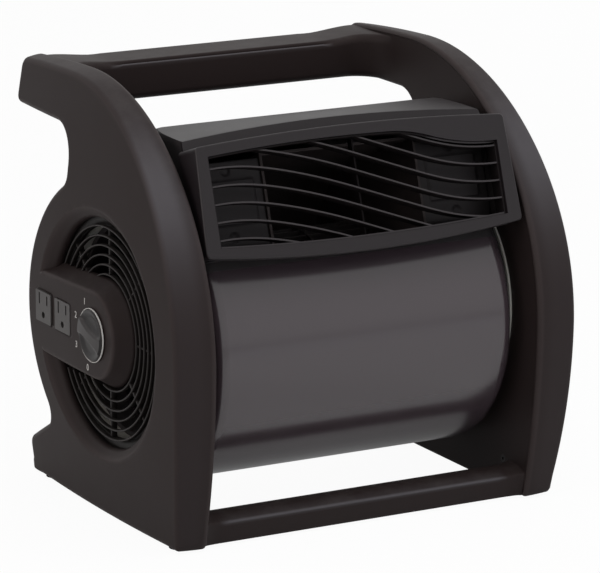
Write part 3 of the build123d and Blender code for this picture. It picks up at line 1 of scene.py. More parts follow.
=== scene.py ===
"""Air circulator fan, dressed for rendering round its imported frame.

Lengths are in millimetres in the shape functions and become metres when a mesh is made.
The camera, the lamps and the floor are in metres. X runs along the pivot axis, -Y out of
the front and Z up, as in the frame.
"""
import bmesh
import bpy
import json
import math
import numpy as np
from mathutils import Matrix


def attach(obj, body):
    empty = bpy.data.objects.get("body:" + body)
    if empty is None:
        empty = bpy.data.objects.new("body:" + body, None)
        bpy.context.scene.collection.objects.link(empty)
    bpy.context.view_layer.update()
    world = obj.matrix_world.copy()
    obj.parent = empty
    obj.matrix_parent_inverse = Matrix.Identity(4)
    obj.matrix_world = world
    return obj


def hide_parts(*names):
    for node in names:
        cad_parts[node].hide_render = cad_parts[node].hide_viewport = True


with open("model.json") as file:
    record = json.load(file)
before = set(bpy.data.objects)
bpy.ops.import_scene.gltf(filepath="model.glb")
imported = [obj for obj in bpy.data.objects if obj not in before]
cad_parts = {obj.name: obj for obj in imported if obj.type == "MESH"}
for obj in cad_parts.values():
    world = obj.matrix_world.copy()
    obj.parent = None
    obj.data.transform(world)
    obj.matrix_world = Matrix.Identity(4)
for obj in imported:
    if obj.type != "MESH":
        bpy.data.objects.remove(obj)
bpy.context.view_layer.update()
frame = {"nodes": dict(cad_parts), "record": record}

MM = 0.001
PIVOT = np.array([0.0, -20.0, 139.5])

scene = bpy.context.scene
scene.view_settings.view_transform = "Standard"

# ---------------------------------------------------------------- shader tools


def feed(tree, node, inputs):
    """Feed a node's inputs, by title or place, with sockets, numbers or colours."""
    for title, value in inputs.items():
        socket = node.inputs[title]
        if isinstance(value, bpy.types.NodeSocket):
            tree.links.new(value, socket)
        elif socket.type == "RGBA":
            socket.default_value = (*value, 1.0)
        else:
            socket.default_value = value


def make_node(tree, kind, inputs=None, **settings):
    """A shader node with its settings made and its inputs fed."""
    node = tree.nodes.new("ShaderNode" + kind)
    for title, value in settings.items():
        setattr(node, title, value)
    feed(tree, node, inputs or {})
    return node


def math_node(tree, operation, *values):
    """A Math node; each value, in the order of its inputs, is a socket or a number."""
    return make_node(tree, "Math", dict(enumerate(values)), operation=operation).outputs[0]


def noise(tree, vector, scale, detail, rough=0.5):
    """A noise field; the scale is a socket or a number."""
    inputs = {"Vector": vector, "Scale": scale, "Detail": detail, "Roughness": rough}
    return make_node(tree, "TexNoise", inputs).outputs["Fac"]


def ramp(tree, value, low, high):
    """A value mapped from low..high to 0..1 with smooth ends."""
    inputs = {"Value": value, "From Min": low, "From Max": high}
    return make_node(tree, "MapRange", inputs, interpolation_type="SMOOTHSTEP").outputs["Result"]


def line_between(tree, value, start, end):
    """A value carried straight from one (place, height) pair to another and level outside them."""
    titles = ("From Min", "To Min", "From Max", "To Max")
    inputs = {title: number * MM for title, number in zip(titles, (*start, *end))}
    return make_node(tree, "MapRange", {"Value": value, **inputs}).outputs["Result"]


def distance_along(tree, place, direction):
    """How far a place lies along a unit direction."""
    inputs = {0: place, 1: direction}
    return make_node(tree, "VectorMath", inputs, operation="DOT_PRODUCT").outputs["Value"]


def attribute(tree, name):
    """The value that each point of a mesh carries under a name."""
    return make_node(tree, "Attribute", attribute_name=name).outputs["Fac"]


def mix_colour(tree, mask, first, second):
    """Blend two colours, each a socket or three numbers, by a mask."""
    node = make_node(tree, "Mix", {"Factor": mask}, data_type="RGBA")
    colours = [place for place, socket in enumerate(node.inputs) if socket.type == "RGBA"]
    feed(tree, node, dict(zip(colours, (first, second))))
    return [socket for socket in node.outputs if socket.type == "RGBA"][0]


def toned(tree, tone, colour, darkest, palest):
    """A colour that drifts with a tone between two shades of itself."""
    shades = [tuple(min(1.0, part * amount) for part in colour) for amount in (darkest, palest)]
    return mix_colour(tree, tone, *shades)


def bump(tree, surface, height, strength, distance):
    """Roughen a surface's shading by a height, over a distance in millimetres."""
    inputs = {"Strength": strength, "Distance": distance * MM, "Height": height}
    feed(tree, surface, {"Normal": make_node(tree, "Bump", inputs).outputs["Normal"]})


# ---------------------------------------------------------------- camera and light

LENS = 245.3
SENSOR_WIDTH = 36.0
FAR_CLIP = 100.0
CAMERA_PLACE = (-1.4113, -2.5997, 0.8833)
CAMERA_DOWN_DEG = 13.9
CAMERA_RIGHT_DEG = 28.7
WORLD_FILL = 0.42
FLOOR_REACH = 8.0
FLOOR_COLOUR = (0.88, 0.88, 0.88)
FLOOR_LIFT = 0.955
GLOSS_LIFT = 0.22
WHITE = (1.0, 1.0, 1.0)
COOL = (0.88, 0.93, 1.0)
WARM = (1.0, 0.90, 0.87)


def make_camera():
    """Camera at the photograph's viewing angle, a long lens from the front left."""
    data = bpy.data.cameras.new("view_camera")
    data.lens = LENS
    data.sensor_width = SENSOR_WIDTH
    data.clip_end = FAR_CLIP
    camera = bpy.data.objects.new("view_camera", data)
    camera.location = CAMERA_PLACE
    camera.rotation_euler = (math.radians(90 - CAMERA_DOWN_DEG), 0.0, math.radians(-CAMERA_RIGHT_DEG))
    scene.collection.objects.link(camera)
    scene.camera = camera


def soft_light(name, place, target, size, power, tint=WHITE, mirrored=True):
    """One rectangular lamp at place, facing target, seen in glossy faces or not."""
    data = bpy.data.lights.new(name, "AREA")
    data.shape = "RECTANGLE"
    data.size, data.size_y = size
    data.energy = power
    data.color = tint
    lamp = bpy.data.objects.new(name, data)
    lamp.location = place
    lamp.visible_glossy = mirrored
    aim = np.array(target) - np.array(place)
    dip = math.atan2(math.hypot(aim[0], aim[1]), -aim[2])
    lamp.rotation_euler = (dip, 0.0, math.atan2(aim[1], aim[0]) - math.pi / 2)
    scene.collection.objects.link(lamp)


def make_world():
    """White in gloss, through glass and seen directly, and a plain grey fill elsewhere."""
    world = bpy.data.worlds.new("studio")
    world.use_nodes = True
    tree = world.node_tree
    tree.nodes.clear()
    rays = make_node(tree, "LightPath").outputs
    seen = math_node(tree, "MAXIMUM", rays["Is Camera Ray"], rays["Is Glossy Ray"])
    shown = math_node(tree, "MAXIMUM", seen, rays["Is Transmission Ray"])
    strength = make_node(tree, "MapRange", {"Value": shown, "To Min": WORLD_FILL, "To Max": 1.0})
    background = make_node(tree, "Background", {"Strength": strength.outputs["Result"]})
    make_node(tree, "OutputWorld", {"Surface": background.outputs[0]})
    scene.world = world


def floor_material():
    """A pale matt floor that glows towards the camera, and a little in gloss."""
    material = bpy.data.materials.new("pale_floor")
    material.use_nodes = True
    tree = material.node_tree
    tree.nodes.clear()
    rays = make_node(tree, "LightPath").outputs
    diffuse = make_node(tree, "BsdfDiffuse", {"Color": FLOOR_COLOUR})
    glow = make_node(tree, "Emission")
    seen = math_node(tree, "MULTIPLY_ADD", rays["Is Glossy Ray"], GLOSS_LIFT, rays["Is Camera Ray"])
    lift = math_node(tree, "MULTIPLY", seen, FLOOR_LIFT)
    mix = make_node(tree, "MixShader", {"Fac": lift, 1: diffuse.outputs[0], 2: glow.outputs[0]})
    make_node(tree, "OutputMaterial", {"Surface": mix.outputs[0]})
    return material


def make_floor():
    """A plain floor that keeps the object's shadow."""
    mesh = bpy.data.meshes.new("studio_floor")
    signs = ((-1, -1), (1, -1), (1, 1), (-1, 1))
    mesh.from_pydata([(x * FLOOR_REACH, y * FLOOR_REACH, 0) for x, y in signs], [], [(0, 1, 2, 3)])
    mesh.materials.append(floor_material())
    floor = bpy.data.objects.new("studio_floor", mesh)
    scene.collection.objects.link(floor)


make_camera()
make_world()
make_floor()
soft_light("top_box", (0.1, -0.55, 1.6), (0.0, -0.05, 0.2), (1.3, 0.8), 12.0, mirrored=False)
soft_light("front_box", (0.9, -1.9, 0.7), (0.0, 0.0, 0.15), (1.0, 1.0), 7.5, COOL, mirrored=False)
soft_light("left_box", (-2.1, -0.2, 0.9), (-0.15, 0.0, 0.15), (1.2, 1.2), 9.0, WARM)
soft_light("rear_box", (1.6, 1.7, 1.2), (0.0, 0.0, 0.15), (1.2, 1.2), 9.0, mirrored=False)

# ---------------------------------------------------------------- shader groups

FINE_GRAIN = 1400.0
SOFT_GRAIN = 900.0


def new_group(name, inputs, outputs):
    """An empty shader group: its inputs as (name, kind, default), its outputs as names of floats."""
    tree = bpy.data.node_groups.new(name, "ShaderNodeTree")
    for title, kind, value in inputs:
        socket = tree.interface.new_socket(name=title, in_out="INPUT", socket_type="NodeSocket" + kind)
        if value is not None:
            socket.default_value = value
    for title in outputs:
        tree.interface.new_socket(name=title, in_out="OUTPUT", socket_type="NodeSocketFloat")
    return tree, tree.nodes.new("NodeGroupInput"), tree.nodes.new("NodeGroupOutput")


def stretched(tree, vector, scale, turn=(0.0, 0.0, 0.0)):
    """A vector drawn out by a factor along each axis, then turned."""
    inputs = {"Vector": vector, "Rotation": turn, "Scale": scale}
    return make_node(tree, "Mapping", inputs).outputs["Vector"]


def moulding_group():
    """Moulded plastic: fine spark-eroded grain, slow tone drift and faint rubbed scuffs."""
    inputs = [("Vector", "Vector", None), ("Grain", "Float", FINE_GRAIN)]
    tree, inside, outside = new_group("moulding", inputs, ["Height", "Tone", "Scuff"])
    vector, scale = inside.outputs["Vector"], inside.outputs["Grain"]
    grain = noise(tree, vector, scale, 3.0, 0.6)
    pits = make_node(tree, "TexVoronoi", {"Vector": vector, "Scale": scale})
    pitting = math_node(tree, "MULTIPLY", pits.outputs["Distance"], 0.5)
    drift = math_node(tree, "MULTIPLY", noise(tree, vector, 9.0, 3.0), 0.65)
    cloud = math_node(tree, "MULTIPLY", noise(tree, vector, 55.0, 4.0, 0.65), 0.35)
    streaks = noise(tree, stretched(tree, vector, (1.0, 1.0, 9.0), (0.5, 0.3, 0.2)), 38.0, 5.0, 0.7)
    feed(tree, outside, {
        "Height": math_node(tree, "ADD", grain, pitting),
        "Tone": math_node(tree, "ADD", drift, cloud),
        "Scuff": ramp(tree, streaks, 0.62, 0.78),
    })
    return tree


def dust_and_top_light_group():
    """A faint pale film on faces that look up, broken by noise: partly settled dust, partly painted light
    from above.
    """
    tree, inside, outside = new_group("settled_dust_and_top_light", [("Vector", "Vector", None)], ["Mask"])
    facing = make_node(tree, "NewGeometry").outputs["Normal"]
    up = ramp(tree, make_node(tree, "SeparateXYZ", {0: facing}).outputs["Z"], 0.35, 1.0)
    patches = ramp(tree, noise(tree, inside.outputs["Vector"], 70.0, 5.0, 0.7), 0.35, 0.75)
    feed(tree, outside, {"Mask": math_node(tree, "MULTIPLY", up, patches)})
    return tree


def brushed_group():
    """Turned or brushed metal: fine lines along X with slow tone drift."""
    tree, inside, outside = new_group("brushed", [("Vector", "Vector", None)], ["Height", "Tone"])
    vector = inside.outputs["Vector"]
    lines = noise(tree, stretched(tree, vector, (6.0, 90.0, 90.0)), 12.0, 4.0, 0.6)
    feed(tree, outside, {"Height": lines, "Tone": noise(tree, vector, 30.0, 3.0)})
    return tree


MOULDING = moulding_group()
DUST_AND_TOP_LIGHT = dust_and_top_light_group()
BRUSHED = brushed_group()

# ---------------------------------------------------------------- finishes

# Pale colour painted on as a highlight where a mesh's painted highlight attribute asks for it.
HIGHLIGHT_COLOUR = (0.086, 0.080, 0.086)
# Colour of the film on up-facing faces: partly dust, partly painted light from above.
DUST_AND_TOP_LIGHT_COLOUR = (0.42, 0.40, 0.38)
GRAIN_DEPTH = 0.06
LINE_DEPTH = 0.05


def place_group(tree, group, vector, **values):
    """The outputs of a shader group placed in a material with its own values."""
    return make_node(tree, "Group", {"Vector": vector, **values}, node_tree=group).outputs


def start_material(name):
    """An empty material: itself, its tree, its surface and the place on the piece."""
    material = bpy.data.materials.new(name)
    material.use_nodes = True
    tree = material.node_tree
    place = make_node(tree, "TexCoord").outputs["Object"]
    return material, tree, tree.nodes["Principled BSDF"], place


def plastic(
    name, colour, rough, grain=FINE_GRAIN, relief=0.25, specular=0.35, dust_and_top_light=0.06, wear_and_highlight=0.35, drift=0.10
):
    """Moulded plastic: grain, slow tone changes, scuffs, a film on up-facing faces that is partly dust and
    partly painted light from above, pale edges that are partly wear and partly painted highlight, and
    painted highlights.
    """
    material, tree, surface, place = start_material(name)
    detail = place_group(tree, MOULDING, place, Grain=grain)
    base = toned(tree, detail["Tone"], colour, 1 - drift, 1 + drift)
    # Painted highlight: the colour goes pale where the mesh's painted highlight attribute is set.
    base = mix_colour(tree, attribute(tree, "polish"), base, HIGHLIGHT_COLOUR)
    # Pale edges by the mesh's edge attribute: partly real wear, partly painted highlight.
    pale_edge_mask = math_node(tree, "MULTIPLY", attribute(tree, "edge"), wear_and_highlight)
    base = mix_colour(tree, pale_edge_mask, base, tuple(part * 1.9 + 0.012 for part in colour))
    # Film on up-facing faces: partly dust, partly painted light from above.
    dust_and_top_light_mix = math_node(tree, "MULTIPLY", place_group(tree, DUST_AND_TOP_LIGHT, place)["Mask"], dust_and_top_light)
    uneven = math_node(tree, "MULTIPLY_ADD", detail["Tone"], 0.16, rough - 0.08)
    scuffed = math_node(tree, "MULTIPLY", detail["Scuff"], 0.07)
    feed(tree, surface, {
        "Base Color": mix_colour(tree, dust_and_top_light_mix, base, DUST_AND_TOP_LIGHT_COLOUR),
        "Roughness": math_node(tree, "SUBTRACT", uneven, scuffed),
        "Specular IOR Level": specular,
    })
    bump(tree, surface, detail["Height"], relief, GRAIN_DEPTH)
    return material


def metal(name, colour, rough, metallic=1.0, relief=0.2):
    """Bare or enamelled metal with fine lines and uneven gloss."""
    material, tree, surface, place = start_material(name)
    detail = place_group(tree, BRUSHED, place)
    feed(tree, surface, {
        "Base Color": toned(tree, detail["Tone"], colour, 0.82, 1.12),
        "Metallic": metallic,
        "Roughness": math_node(tree, "MULTIPLY_ADD", detail["Height"], 0.25, rough - 0.12),
    })
    bump(tree, surface, detail["Height"], relief, LINE_DEPTH)
    return material


FINISHES = {
    # The casing's pale edges are partly wear and partly painted highlight.
    "casing": plastic(
        "charcoal_moulding", (0.0215, 0.0152, 0.0148), 0.50, specular=0.12, dust_and_top_light=0.03, wear_and_highlight=0.8
    ),
    # The grille's pale edges are painted highlight, strong enough to turn the fronts of its bars pale.
    "grille": plastic("grille_moulding", (0.0062, 0.0046, 0.0042), 0.45, specular=0.18, wear_and_highlight=2.2),
    "fascia": plastic("fascia_moulding", (0.0118, 0.0088, 0.0102), 0.42, specular=0.38, dust_and_top_light=0.03),
    "duct": plastic("duct_moulding", (0.0240, 0.0205, 0.0215), 0.55, specular=0.25),
    "scroll": plastic("scroll_moulding", (0.060, 0.049, 0.048), 0.60, specular=0.10, wear_and_highlight=0.0),
    "rubber": plastic(
        "rubber_pads", (0.0100, 0.0100, 0.0100), 0.75, grain=SOFT_GRAIN, relief=0.4, specular=0.2
    ),
    "lead": plastic("lead_sheath", (0.0120, 0.0120, 0.0120), 0.50, grain=SOFT_GRAIN),
    "bush": plastic("natural_nylon", (0.55, 0.54, 0.50), 0.45, specular=0.4, wear_and_highlight=0.0),
    "hood": plastic(
        "hood_moulding", (0.027, 0.024, 0.025), 0.40, relief=0.12, specular=0.42, dust_and_top_light=0.02, drift=0.04
    ),
    "drum": plastic(
        "drum_moulding", (0.040, 0.0290, 0.0340), 0.20, relief=0.03, specular=0.9, dust_and_top_light=0.0, drift=0.03
    ),
    "wheel": plastic("wheel_moulding", (0.0420, 0.0360, 0.0360), 0.45),
    # The knob's pale edges are painted highlight on its grip.
    "knob": plastic("knob_moulding", (0.0085, 0.0065, 0.0065), 0.36, wear_and_highlight=1.6),
    "print": plastic(
        "pale_trim", (0.62, 0.61, 0.59), 0.40, grain=SOFT_GRAIN, relief=0.1, wear_and_highlight=0.0, drift=0.04
    ),
    "outlet": plastic(
        "outlet_moulding", (0.056, 0.052, 0.051), 0.42, grain=SOFT_GRAIN, relief=0.1, wear_and_highlight=0.0, drift=0.04
    ),
    "capacitor": plastic("capacitor_case", (0.62, 0.62, 0.60), 0.35, relief=0.1, wear_and_highlight=0.0),
    "steel": metal("bright_steel", (0.55, 0.55, 0.55), 0.30),
    "motor_steel": metal("dark_enamel", (0.060, 0.060, 0.065), 0.42, metallic=0.3),
    "motor_cast": metal("cast_aluminium", (0.45, 0.45, 0.46), 0.50, relief=0.5),
    "bronze": metal("sintered_bronze", (0.50, 0.34, 0.18), 0.45),
    "screws": metal("blackened_steel", (0.035, 0.033, 0.033), 0.42),
}

# The head's own directions at rest: out of its mouth, and up across it.
TILT = math.radians(18.0)
AHEAD = np.array([0.0, -math.cos(TILT), math.sin(TILT)])
ABOVE = np.array([0.0, math.sin(TILT), math.cos(TILT)])

# The louvres' front, their frame's posts, and its waved top as (X, height above the pivot).
LOUVRE_FRONT = 119.5
POST_X = (116.3, 116.6)
LEFT_WAVE = ((-118.0, 109.5), (-60.0, 113.4))
RIGHT_WAVE = ((32.0, 113.3), (118.0, 98.3))
TOP_BAR = 1.7


def inside_frame(tree, place):
    """1 on the slats and 0 on the frame they end in: inside its two posts and under its waved top."""
    across = make_node(tree, "SeparateXYZ", {0: place}).outputs["X"]
    posts = ramp(tree, math_node(tree, "ABSOLUTE", across), POST_X[0] * MM, POST_X[1] * MM)
    left = line_between(tree, across, *LEFT_WAVE)
    right = line_between(tree, across, *RIGHT_WAVE)
    wave = math_node(tree, "MINIMUM", left, right)
    under = math_node(tree, "SUBTRACT", wave, distance_along(tree, place, ABOVE))
    low = (TOP_BAR - PIVOT @ ABOVE) * MM
    top = ramp(tree, under, low, low + 0.6 * MM)
    return math_node(tree, "MULTIPLY", top, math_node(tree, "SUBTRACT", 1.0, posts))


def louvre_plastic(name, colour, front_highlight_colour):
    """Near black slats whose front edges, found by their distance ahead of the pivot, carry a painted
    highlight.
    """
    material, tree, surface, place = start_material(name)
    detail = place_group(tree, MOULDING, place, Grain=FINE_GRAIN)
    front = (LOUVRE_FRONT + PIVOT @ AHEAD) * MM
    ahead = ramp(tree, distance_along(tree, place, AHEAD), front - 0.4 * MM, front - 0.1 * MM)
    # Painted highlight on the slats' front edges, inside the frame.
    mask = math_node(tree, "MULTIPLY", ahead, inside_frame(tree, place))
    base = toned(tree, detail["Tone"], colour, 0.85, 1.15)
    feed(tree, surface, {
        "Base Color": mix_colour(tree, mask, base, front_highlight_colour),
        "Roughness": 0.55,
        "Specular IOR Level": math_node(tree, "MULTIPLY_ADD", mask, 0.3, 0.08),
    })
    bump(tree, surface, detail["Height"], 0.2, GRAIN_DEPTH)
    return material


SLOTS = {row["node"]: row["material_slot"] for row in frame["record"]["subparts"]}
OWN_FINISHES = {
    # The pale colour of the slats' front edges is a painted highlight.
    "louvre_grille": louvre_plastic("louvre_moulding", (0.0130, 0.0105, 0.0110), (0.036, 0.031, 0.033)),
    "scroll_housing": FINISHES["scroll"],
}
for node, solid in frame["nodes"].items():
    finish = OWN_FINISHES.get(node, FINISHES[SLOTS[node]])
    if solid.material_slots:
        for holder in solid.material_slots:
            holder.material = finish
    else:
        solid.data.materials.append(finish)

# ---------------------------------------------------------------- shape tools

WELD = 0.02


def spread(values, shape):
    """One value for each point of a grid, from one number, one for each row or one for each point."""
    values = np.asarray(values, float)
    if values.ndim == 1:
        values = values[:, None]
    return np.broadcast_to(values, shape).reshape(-1)


class Sheet:
    """Grids of points gathered into one mesh; a face's front looks along row step x column step."""

    def __init__(self):
        self.points, self.faces, self.edges, self.polish, self.count = [], [], [], [], 0

    def grid(self, points, edge=0.0, closed=False, flip=False, polish=0.0):
        """Add a grid of points (rows, columns, 3); edge says how much pale wear and painted highlight each
        row or point has, the last value how much painted highlight alone.
        """
        shape = points.shape[:2]
        index = np.arange(math.prod(shape)).reshape(shape) + self.count
        following = np.roll(index, -1, axis=1)
        if not closed:
            index, following = index[:, :-1], following[:, :-1]
        quads = np.stack([index[:-1], index[1:], following[1:], following[:-1]], axis=-1).reshape(-1, 4)
        self.faces.append(quads[:, ::-1] if flip else quads)
        self.points.append(points.reshape(-1, 3))
        self.edges.append(spread(edge, shape))
        self.polish.append(spread(polish, shape))
        self.count += math.prod(shape)
        return self

    def bar(self, rows, edge=0.0, flip=False, ends=True):
        """Add a closed section carried along a path, its rows round the section, and close both ends."""
        self.grid(rows, edge, flip=flip)
        for column in (0, -1) if ends else ():
            rim = rows[:, column]
            middle = rim[:-1].mean(axis=0)[None].repeat(len(rim), axis=0)
            self.grid(np.stack([rim, middle]), flip=flip != (column == -1))
        return self

    def mirrored(self):
        """The same sheet on the other side of the middle plane."""
        self.points = [points * (-1, 1, 1) for points in self.points]
        self.faces = [faces[:, ::-1] for faces in self.faces]
        return self

    def piece(self, name, finish, body, *nodes, sharp=35.0):
        """Make the object: weld seams, shade, dress, ride and stand for its CAD nodes."""
        points = np.concatenate(self.points) * MM
        mesh = bpy.data.meshes.new(name)
        mesh.from_pydata(points.tolist(), [], np.concatenate(self.faces).tolist())
        # Attributes of pale marks: edge is wear and painted highlight, the other is painted highlight only.
        for title, values in (("edge", self.edges), ("polish", self.polish)):
            pale_marks = mesh.attributes.new(title, "FLOAT", "POINT")
            pale_marks.data.foreach_set("value", np.concatenate(values).astype(np.float32))
        work = bmesh.new()
        work.from_mesh(mesh)
        bmesh.ops.remove_doubles(work, verts=work.verts, dist=WELD * MM)
        bmesh.ops.dissolve_degenerate(work, edges=work.edges, dist=WELD * MM / 4)
        work.to_mesh(mesh)
        work.free()
        mesh.shade_smooth()
        mesh.set_sharp_from_angle(angle=math.radians(sharp))
        mesh.materials.append(FINISHES[finish])
        made = bpy.data.objects.new(name, mesh)
        scene.collection.objects.link(made)
        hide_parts(*nodes)
        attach(made, body)
        return made


def wall(made, thickness):
    """Give a sheet a wall behind its face."""
    solid = made.modifiers.new("wall", "SOLIDIFY")
    solid.thickness = thickness * MM
    solid.offset = -1.0
    solid.use_even_offset = False


def smooth(value, low, high):
    """0 below low, 1 above high, eased between them as 3t^2 - 2t^3."""
    t = np.clip((value - low) / (high - low), 0, 1)
    return t * t * (3 - 2 * t)


def arc_between(start, end, tangent, count):
    """Circle arc that leaves start along tangent and ends at end.

    It turns by twice the angle between the tangent and the chord.
    """
    start, end, tangent = (np.asarray(p, float) for p in (start, end, tangent))
    chord = end - start
    first = math.atan2(tangent[1], tangent[0])
    turn = 2 * (math.atan2(chord[1], chord[0]) - first)
    turn = (turn + math.tau) % (2 * math.tau) - math.tau
    if abs(turn) < 1e-6:
        return start + chord * np.linspace(0, 1, count)[:, None]
    heading = first + turn * np.linspace(0, 1, count)
    radius = math.hypot(*chord) / (2 * math.sin(turn / 2))
    across = np.stack([np.sin(heading) - math.sin(first), math.cos(first) - np.cos(heading)], axis=-1)
    return start + radius * across


def arc_through(start, middle, end, count):
    """Circle arc from start to end by way of middle, about the centre of the circle through them."""
    a, b, c = (complex(*p) for p in (start, middle, end))
    w = (c - a) / (b - a)
    centre = (b - a) * (w - abs(w) ** 2) / (2j * w.imag) + a
    first = a - centre
    sweep = np.angle((c - centre) / first)
    half_way = np.angle((b - centre) / first)
    if half_way * sweep < 0 or abs(half_way) > abs(sweep):
        sweep -= math.copysign(math.tau, sweep)
    spots = centre + first * np.exp(1j * sweep * np.linspace(0, 1, count))
    return np.stack([spots.real, spots.imag], axis=-1)


def lengths(path):
    """Distance along a path of points."""
    steps = np.hypot(*np.diff(path, axis=0).T)
    return np.concatenate([[0], np.cumsum(steps)])


def points_at(path, where):
    """Points at given distances along a path."""
    run = lengths(path)
    return np.stack([np.interp(where, run, path[:, k]) for k in range(path.shape[1])], axis=-1)


def resample(path, count, low=0.0, high=1.0):
    """Points evenly spaced along part of a path, between two fractions of its length."""
    return points_at(path, lengths(path)[-1] * np.linspace(low, high, count))


def straight(start, end, count):
    """Points evenly spaced along a straight line."""
    return resample(np.array([start, end]), count)


def round_joint(first, second, radius):
    """Join two paths with a round corner, trimming both by radius x tan(half the corner's turn)."""
    into = first[-1] - first[-2]
    away = second[1] - second[0]
    angle = abs(np.angle(complex(*away) / complex(*into)))
    trim = radius * math.tan(angle / 2)
    run = lengths(first)
    kept = first[run < run[-1] - trim]
    end, start = points_at(first, run[-1] - trim), points_at(second, trim)
    bend = arc_between(end, start, end - kept[-1], 14)
    return np.concatenate([kept, bend]), np.concatenate([[start], second[lengths(second) > trim]])


def tangents(path, closed=True):
    """Unit direction along a path at each point."""
    if closed:
        step = np.roll(path, -1, axis=0) - np.roll(path, 1, axis=0)
    else:
        step = np.gradient(path, axis=0)
    return step / np.linalg.norm(step, axis=1)[:, None]


def to_the_right(along):
    """Directions a quarter turn clockwise of the given ones."""
    return np.stack([along[:, 1], -along[:, 0]], axis=-1)


def round_pivot(radius, angle):
    """Places (Y, Z) on a circle round the pivot axis, by the angle up from the rear."""
    return PIVOT[1:] + np.stack([radius * np.cos(angle), radius * np.sin(angle)], axis=-1)


def turned(section, angle):
    """A section of (radius, X) pairs turned round the pivot axis: one row of points for each pair."""
    rows = []
    for radius, x in section:
        y, z = round_pivot(radius, angle).T
        rows.append(np.stack([x + 0 * angle, y, z], axis=-1))
    return np.array(rows)


def flared(share):
    """How far a skirt's side has moved out at a share of its fall: a power a little over 1."""
    return 7.4 * share**1.15


# ---------------------------------------------------------------- side panels

PANEL_INNER_X = 132.5
PANEL_WALL = 2.4
SKIN_PEAK_X, SKIN_PEAK_Y, SKIN_PEAK_Z = 170.0, -10.5, 140.0
SKIN_PLAN_R = 1800.0
SKIN_RISE_R = 950.0

# Places of the side outline as (Y, Z), and the radii of its corners in their order.
TOE = (-126.0, 1.2)
SHIN = (-140.0, 75.0)
CHEST = (-144.0, 130.0)
BROW = (-88.5, 267.0)
CROWN = (50.0, 322.0)
TIP_TOP, TIP_LOW = (144.0, 317.0), (144.0, 280.0)
NECK_TOP, NECK_LOW = (37.0, 280.0), (37.0, 241.5)
BULGE = (98.5, 147.0)
WAIST = (61.0, 57.0)
HEEL_TOP, HEEL_LOW = (115.5, 30.0), (115.5, 1.2)
CORNER_R = (11.0, 9.0, 26.0, 10.0, 9.0, 11.0, 4.0, 4.0)

# Dished inlet: a cone from its foot out to the skin, and a throat that runs inwards from there.
INLET_R = 93.0
LIP = 2.2
CONE_R, CONE_X = 84.5, 160.0
CONE_SPREAD = 1.214
CONE_FOOT_R, CONE_FOOT_X = 86.0, 161.0
THROAT = ((85.4, 160.0), (84.8, 158.5), (84.7, 154.3))

# Tongue: the top of its crest falls by 5 mm in 108 mm, and meets the dish 88 mm behind the pivot.
CREST_HALF = 32.0 - 1.6
JOIN_TOP = math.asin((CREST_HALF - 5.0 * 88.0 / 108.0) / (INLET_R + LIP))
JOIN_LOW = -math.asin(CREST_HALF / (INLET_R + LIP))

# Columns in each run of the outline, the places where runs 1 to 6 begin, and the turns of the
# dish, in degrees, that the runs face. Runs 1 to 5 face the hook's spine instead.
RUN_COLUMNS = (110, 30, 30, 26, 30, 30, 36, 28, 28, 36, 60)
RUN_STARTS = ((-10.0, 311.0), (62.0, 322.0), (124.0, 320.0), (124.0, 280.0), (66.0, 280.0), (39.5, 238.5))
SOLE_START = (113.0, 2.0)
SPINE_START_DEG = 62.0
BULGE_END_DEG = -55.0
CORE_ANGLES = {
    0: (230.0, SPINE_START_DEG),
    6: (SPINE_START_DEG, math.degrees(JOIN_TOP)),
    7: (math.degrees(JOIN_TOP), math.degrees(JOIN_LOW)),
    8: (math.degrees(JOIN_LOW), BULGE_END_DEG),
    9: (BULGE_END_DEG, -76.0),
    10: (-76.0, -130.0),
}
SPINE_BEND = 0.46


def sagitta(distance, radius):
    """How far a circle has fallen from its top at a distance to the side."""
    return radius - np.sqrt(radius**2 - distance**2)


def skin_x(y, z):
    """The bowed skin: from its peak it falls by one circle in plan and one in rise, added up."""
    fall = sagitta(y - SKIN_PEAK_Y, SKIN_PLAN_R)
    return SKIN_PEAK_X - fall - sagitta(z - SKIN_PEAK_Z, SKIN_RISE_R)


def on_skin(flat):
    """Points of the bowed skin over flat places (Y, Z)."""
    return np.concatenate([skin_x(flat[..., :1], flat[..., 1:]), flat], axis=-1)


def side_outline():
    """The panel's outline seen from the side: arcs and straight runs joined by round corners."""
    front = arc_through(TOE, SHIN, CHEST, 60)
    for end in (BROW, CROWN, TIP_TOP):
        arc = arc_between(front[-1], end, front[-1] - front[-2], 60)
        front = np.concatenate([front, arc[1:]])
    runs = [
        front,
        straight(TIP_TOP, TIP_LOW, 30),
        straight(TIP_LOW, NECK_TOP, 60),
        straight(NECK_TOP, NECK_LOW, 30),
        arc_through(NECK_LOW, BULGE, WAIST, 90),
        straight(WAIST, HEEL_TOP, 40),
        straight(HEEL_TOP, HEEL_LOW, 30),
        straight(HEEL_LOW, TOE, 90),
    ]
    for first, radius in enumerate(CORNER_R):
        second = (first + 1) % len(runs)
        runs[first], runs[second] = round_joint(runs[first], runs[second], radius)
    return np.concatenate([runs[0]] + [run[1:] for run in runs[1:]])


def nearest(path, run, spot):
    """Distance along a path to its point nearest to a spot."""
    return run[np.argmin(np.hypot(*(path - spot).T))]


def run_marks(whole):
    """Shares of the outline's length at which its runs begin, and 1 at its end."""
    run = lengths(whole)
    marks = [0.0] + [nearest(whole, run, spot) for spot in RUN_STARTS]
    neck, waist = marks[-1], nearest(whole, run, WAIST)
    for angle in (JOIN_TOP, JOIN_LOW):
        share = (SPINE_START_DEG - math.degrees(angle)) / (SPINE_START_DEG - BULGE_END_DEG)
        marks.append(neck + (waist - neck) * share)
    marks += [waist, nearest(whole, run, SOLE_START), run[-1]]
    return np.array(marks) / run[-1]


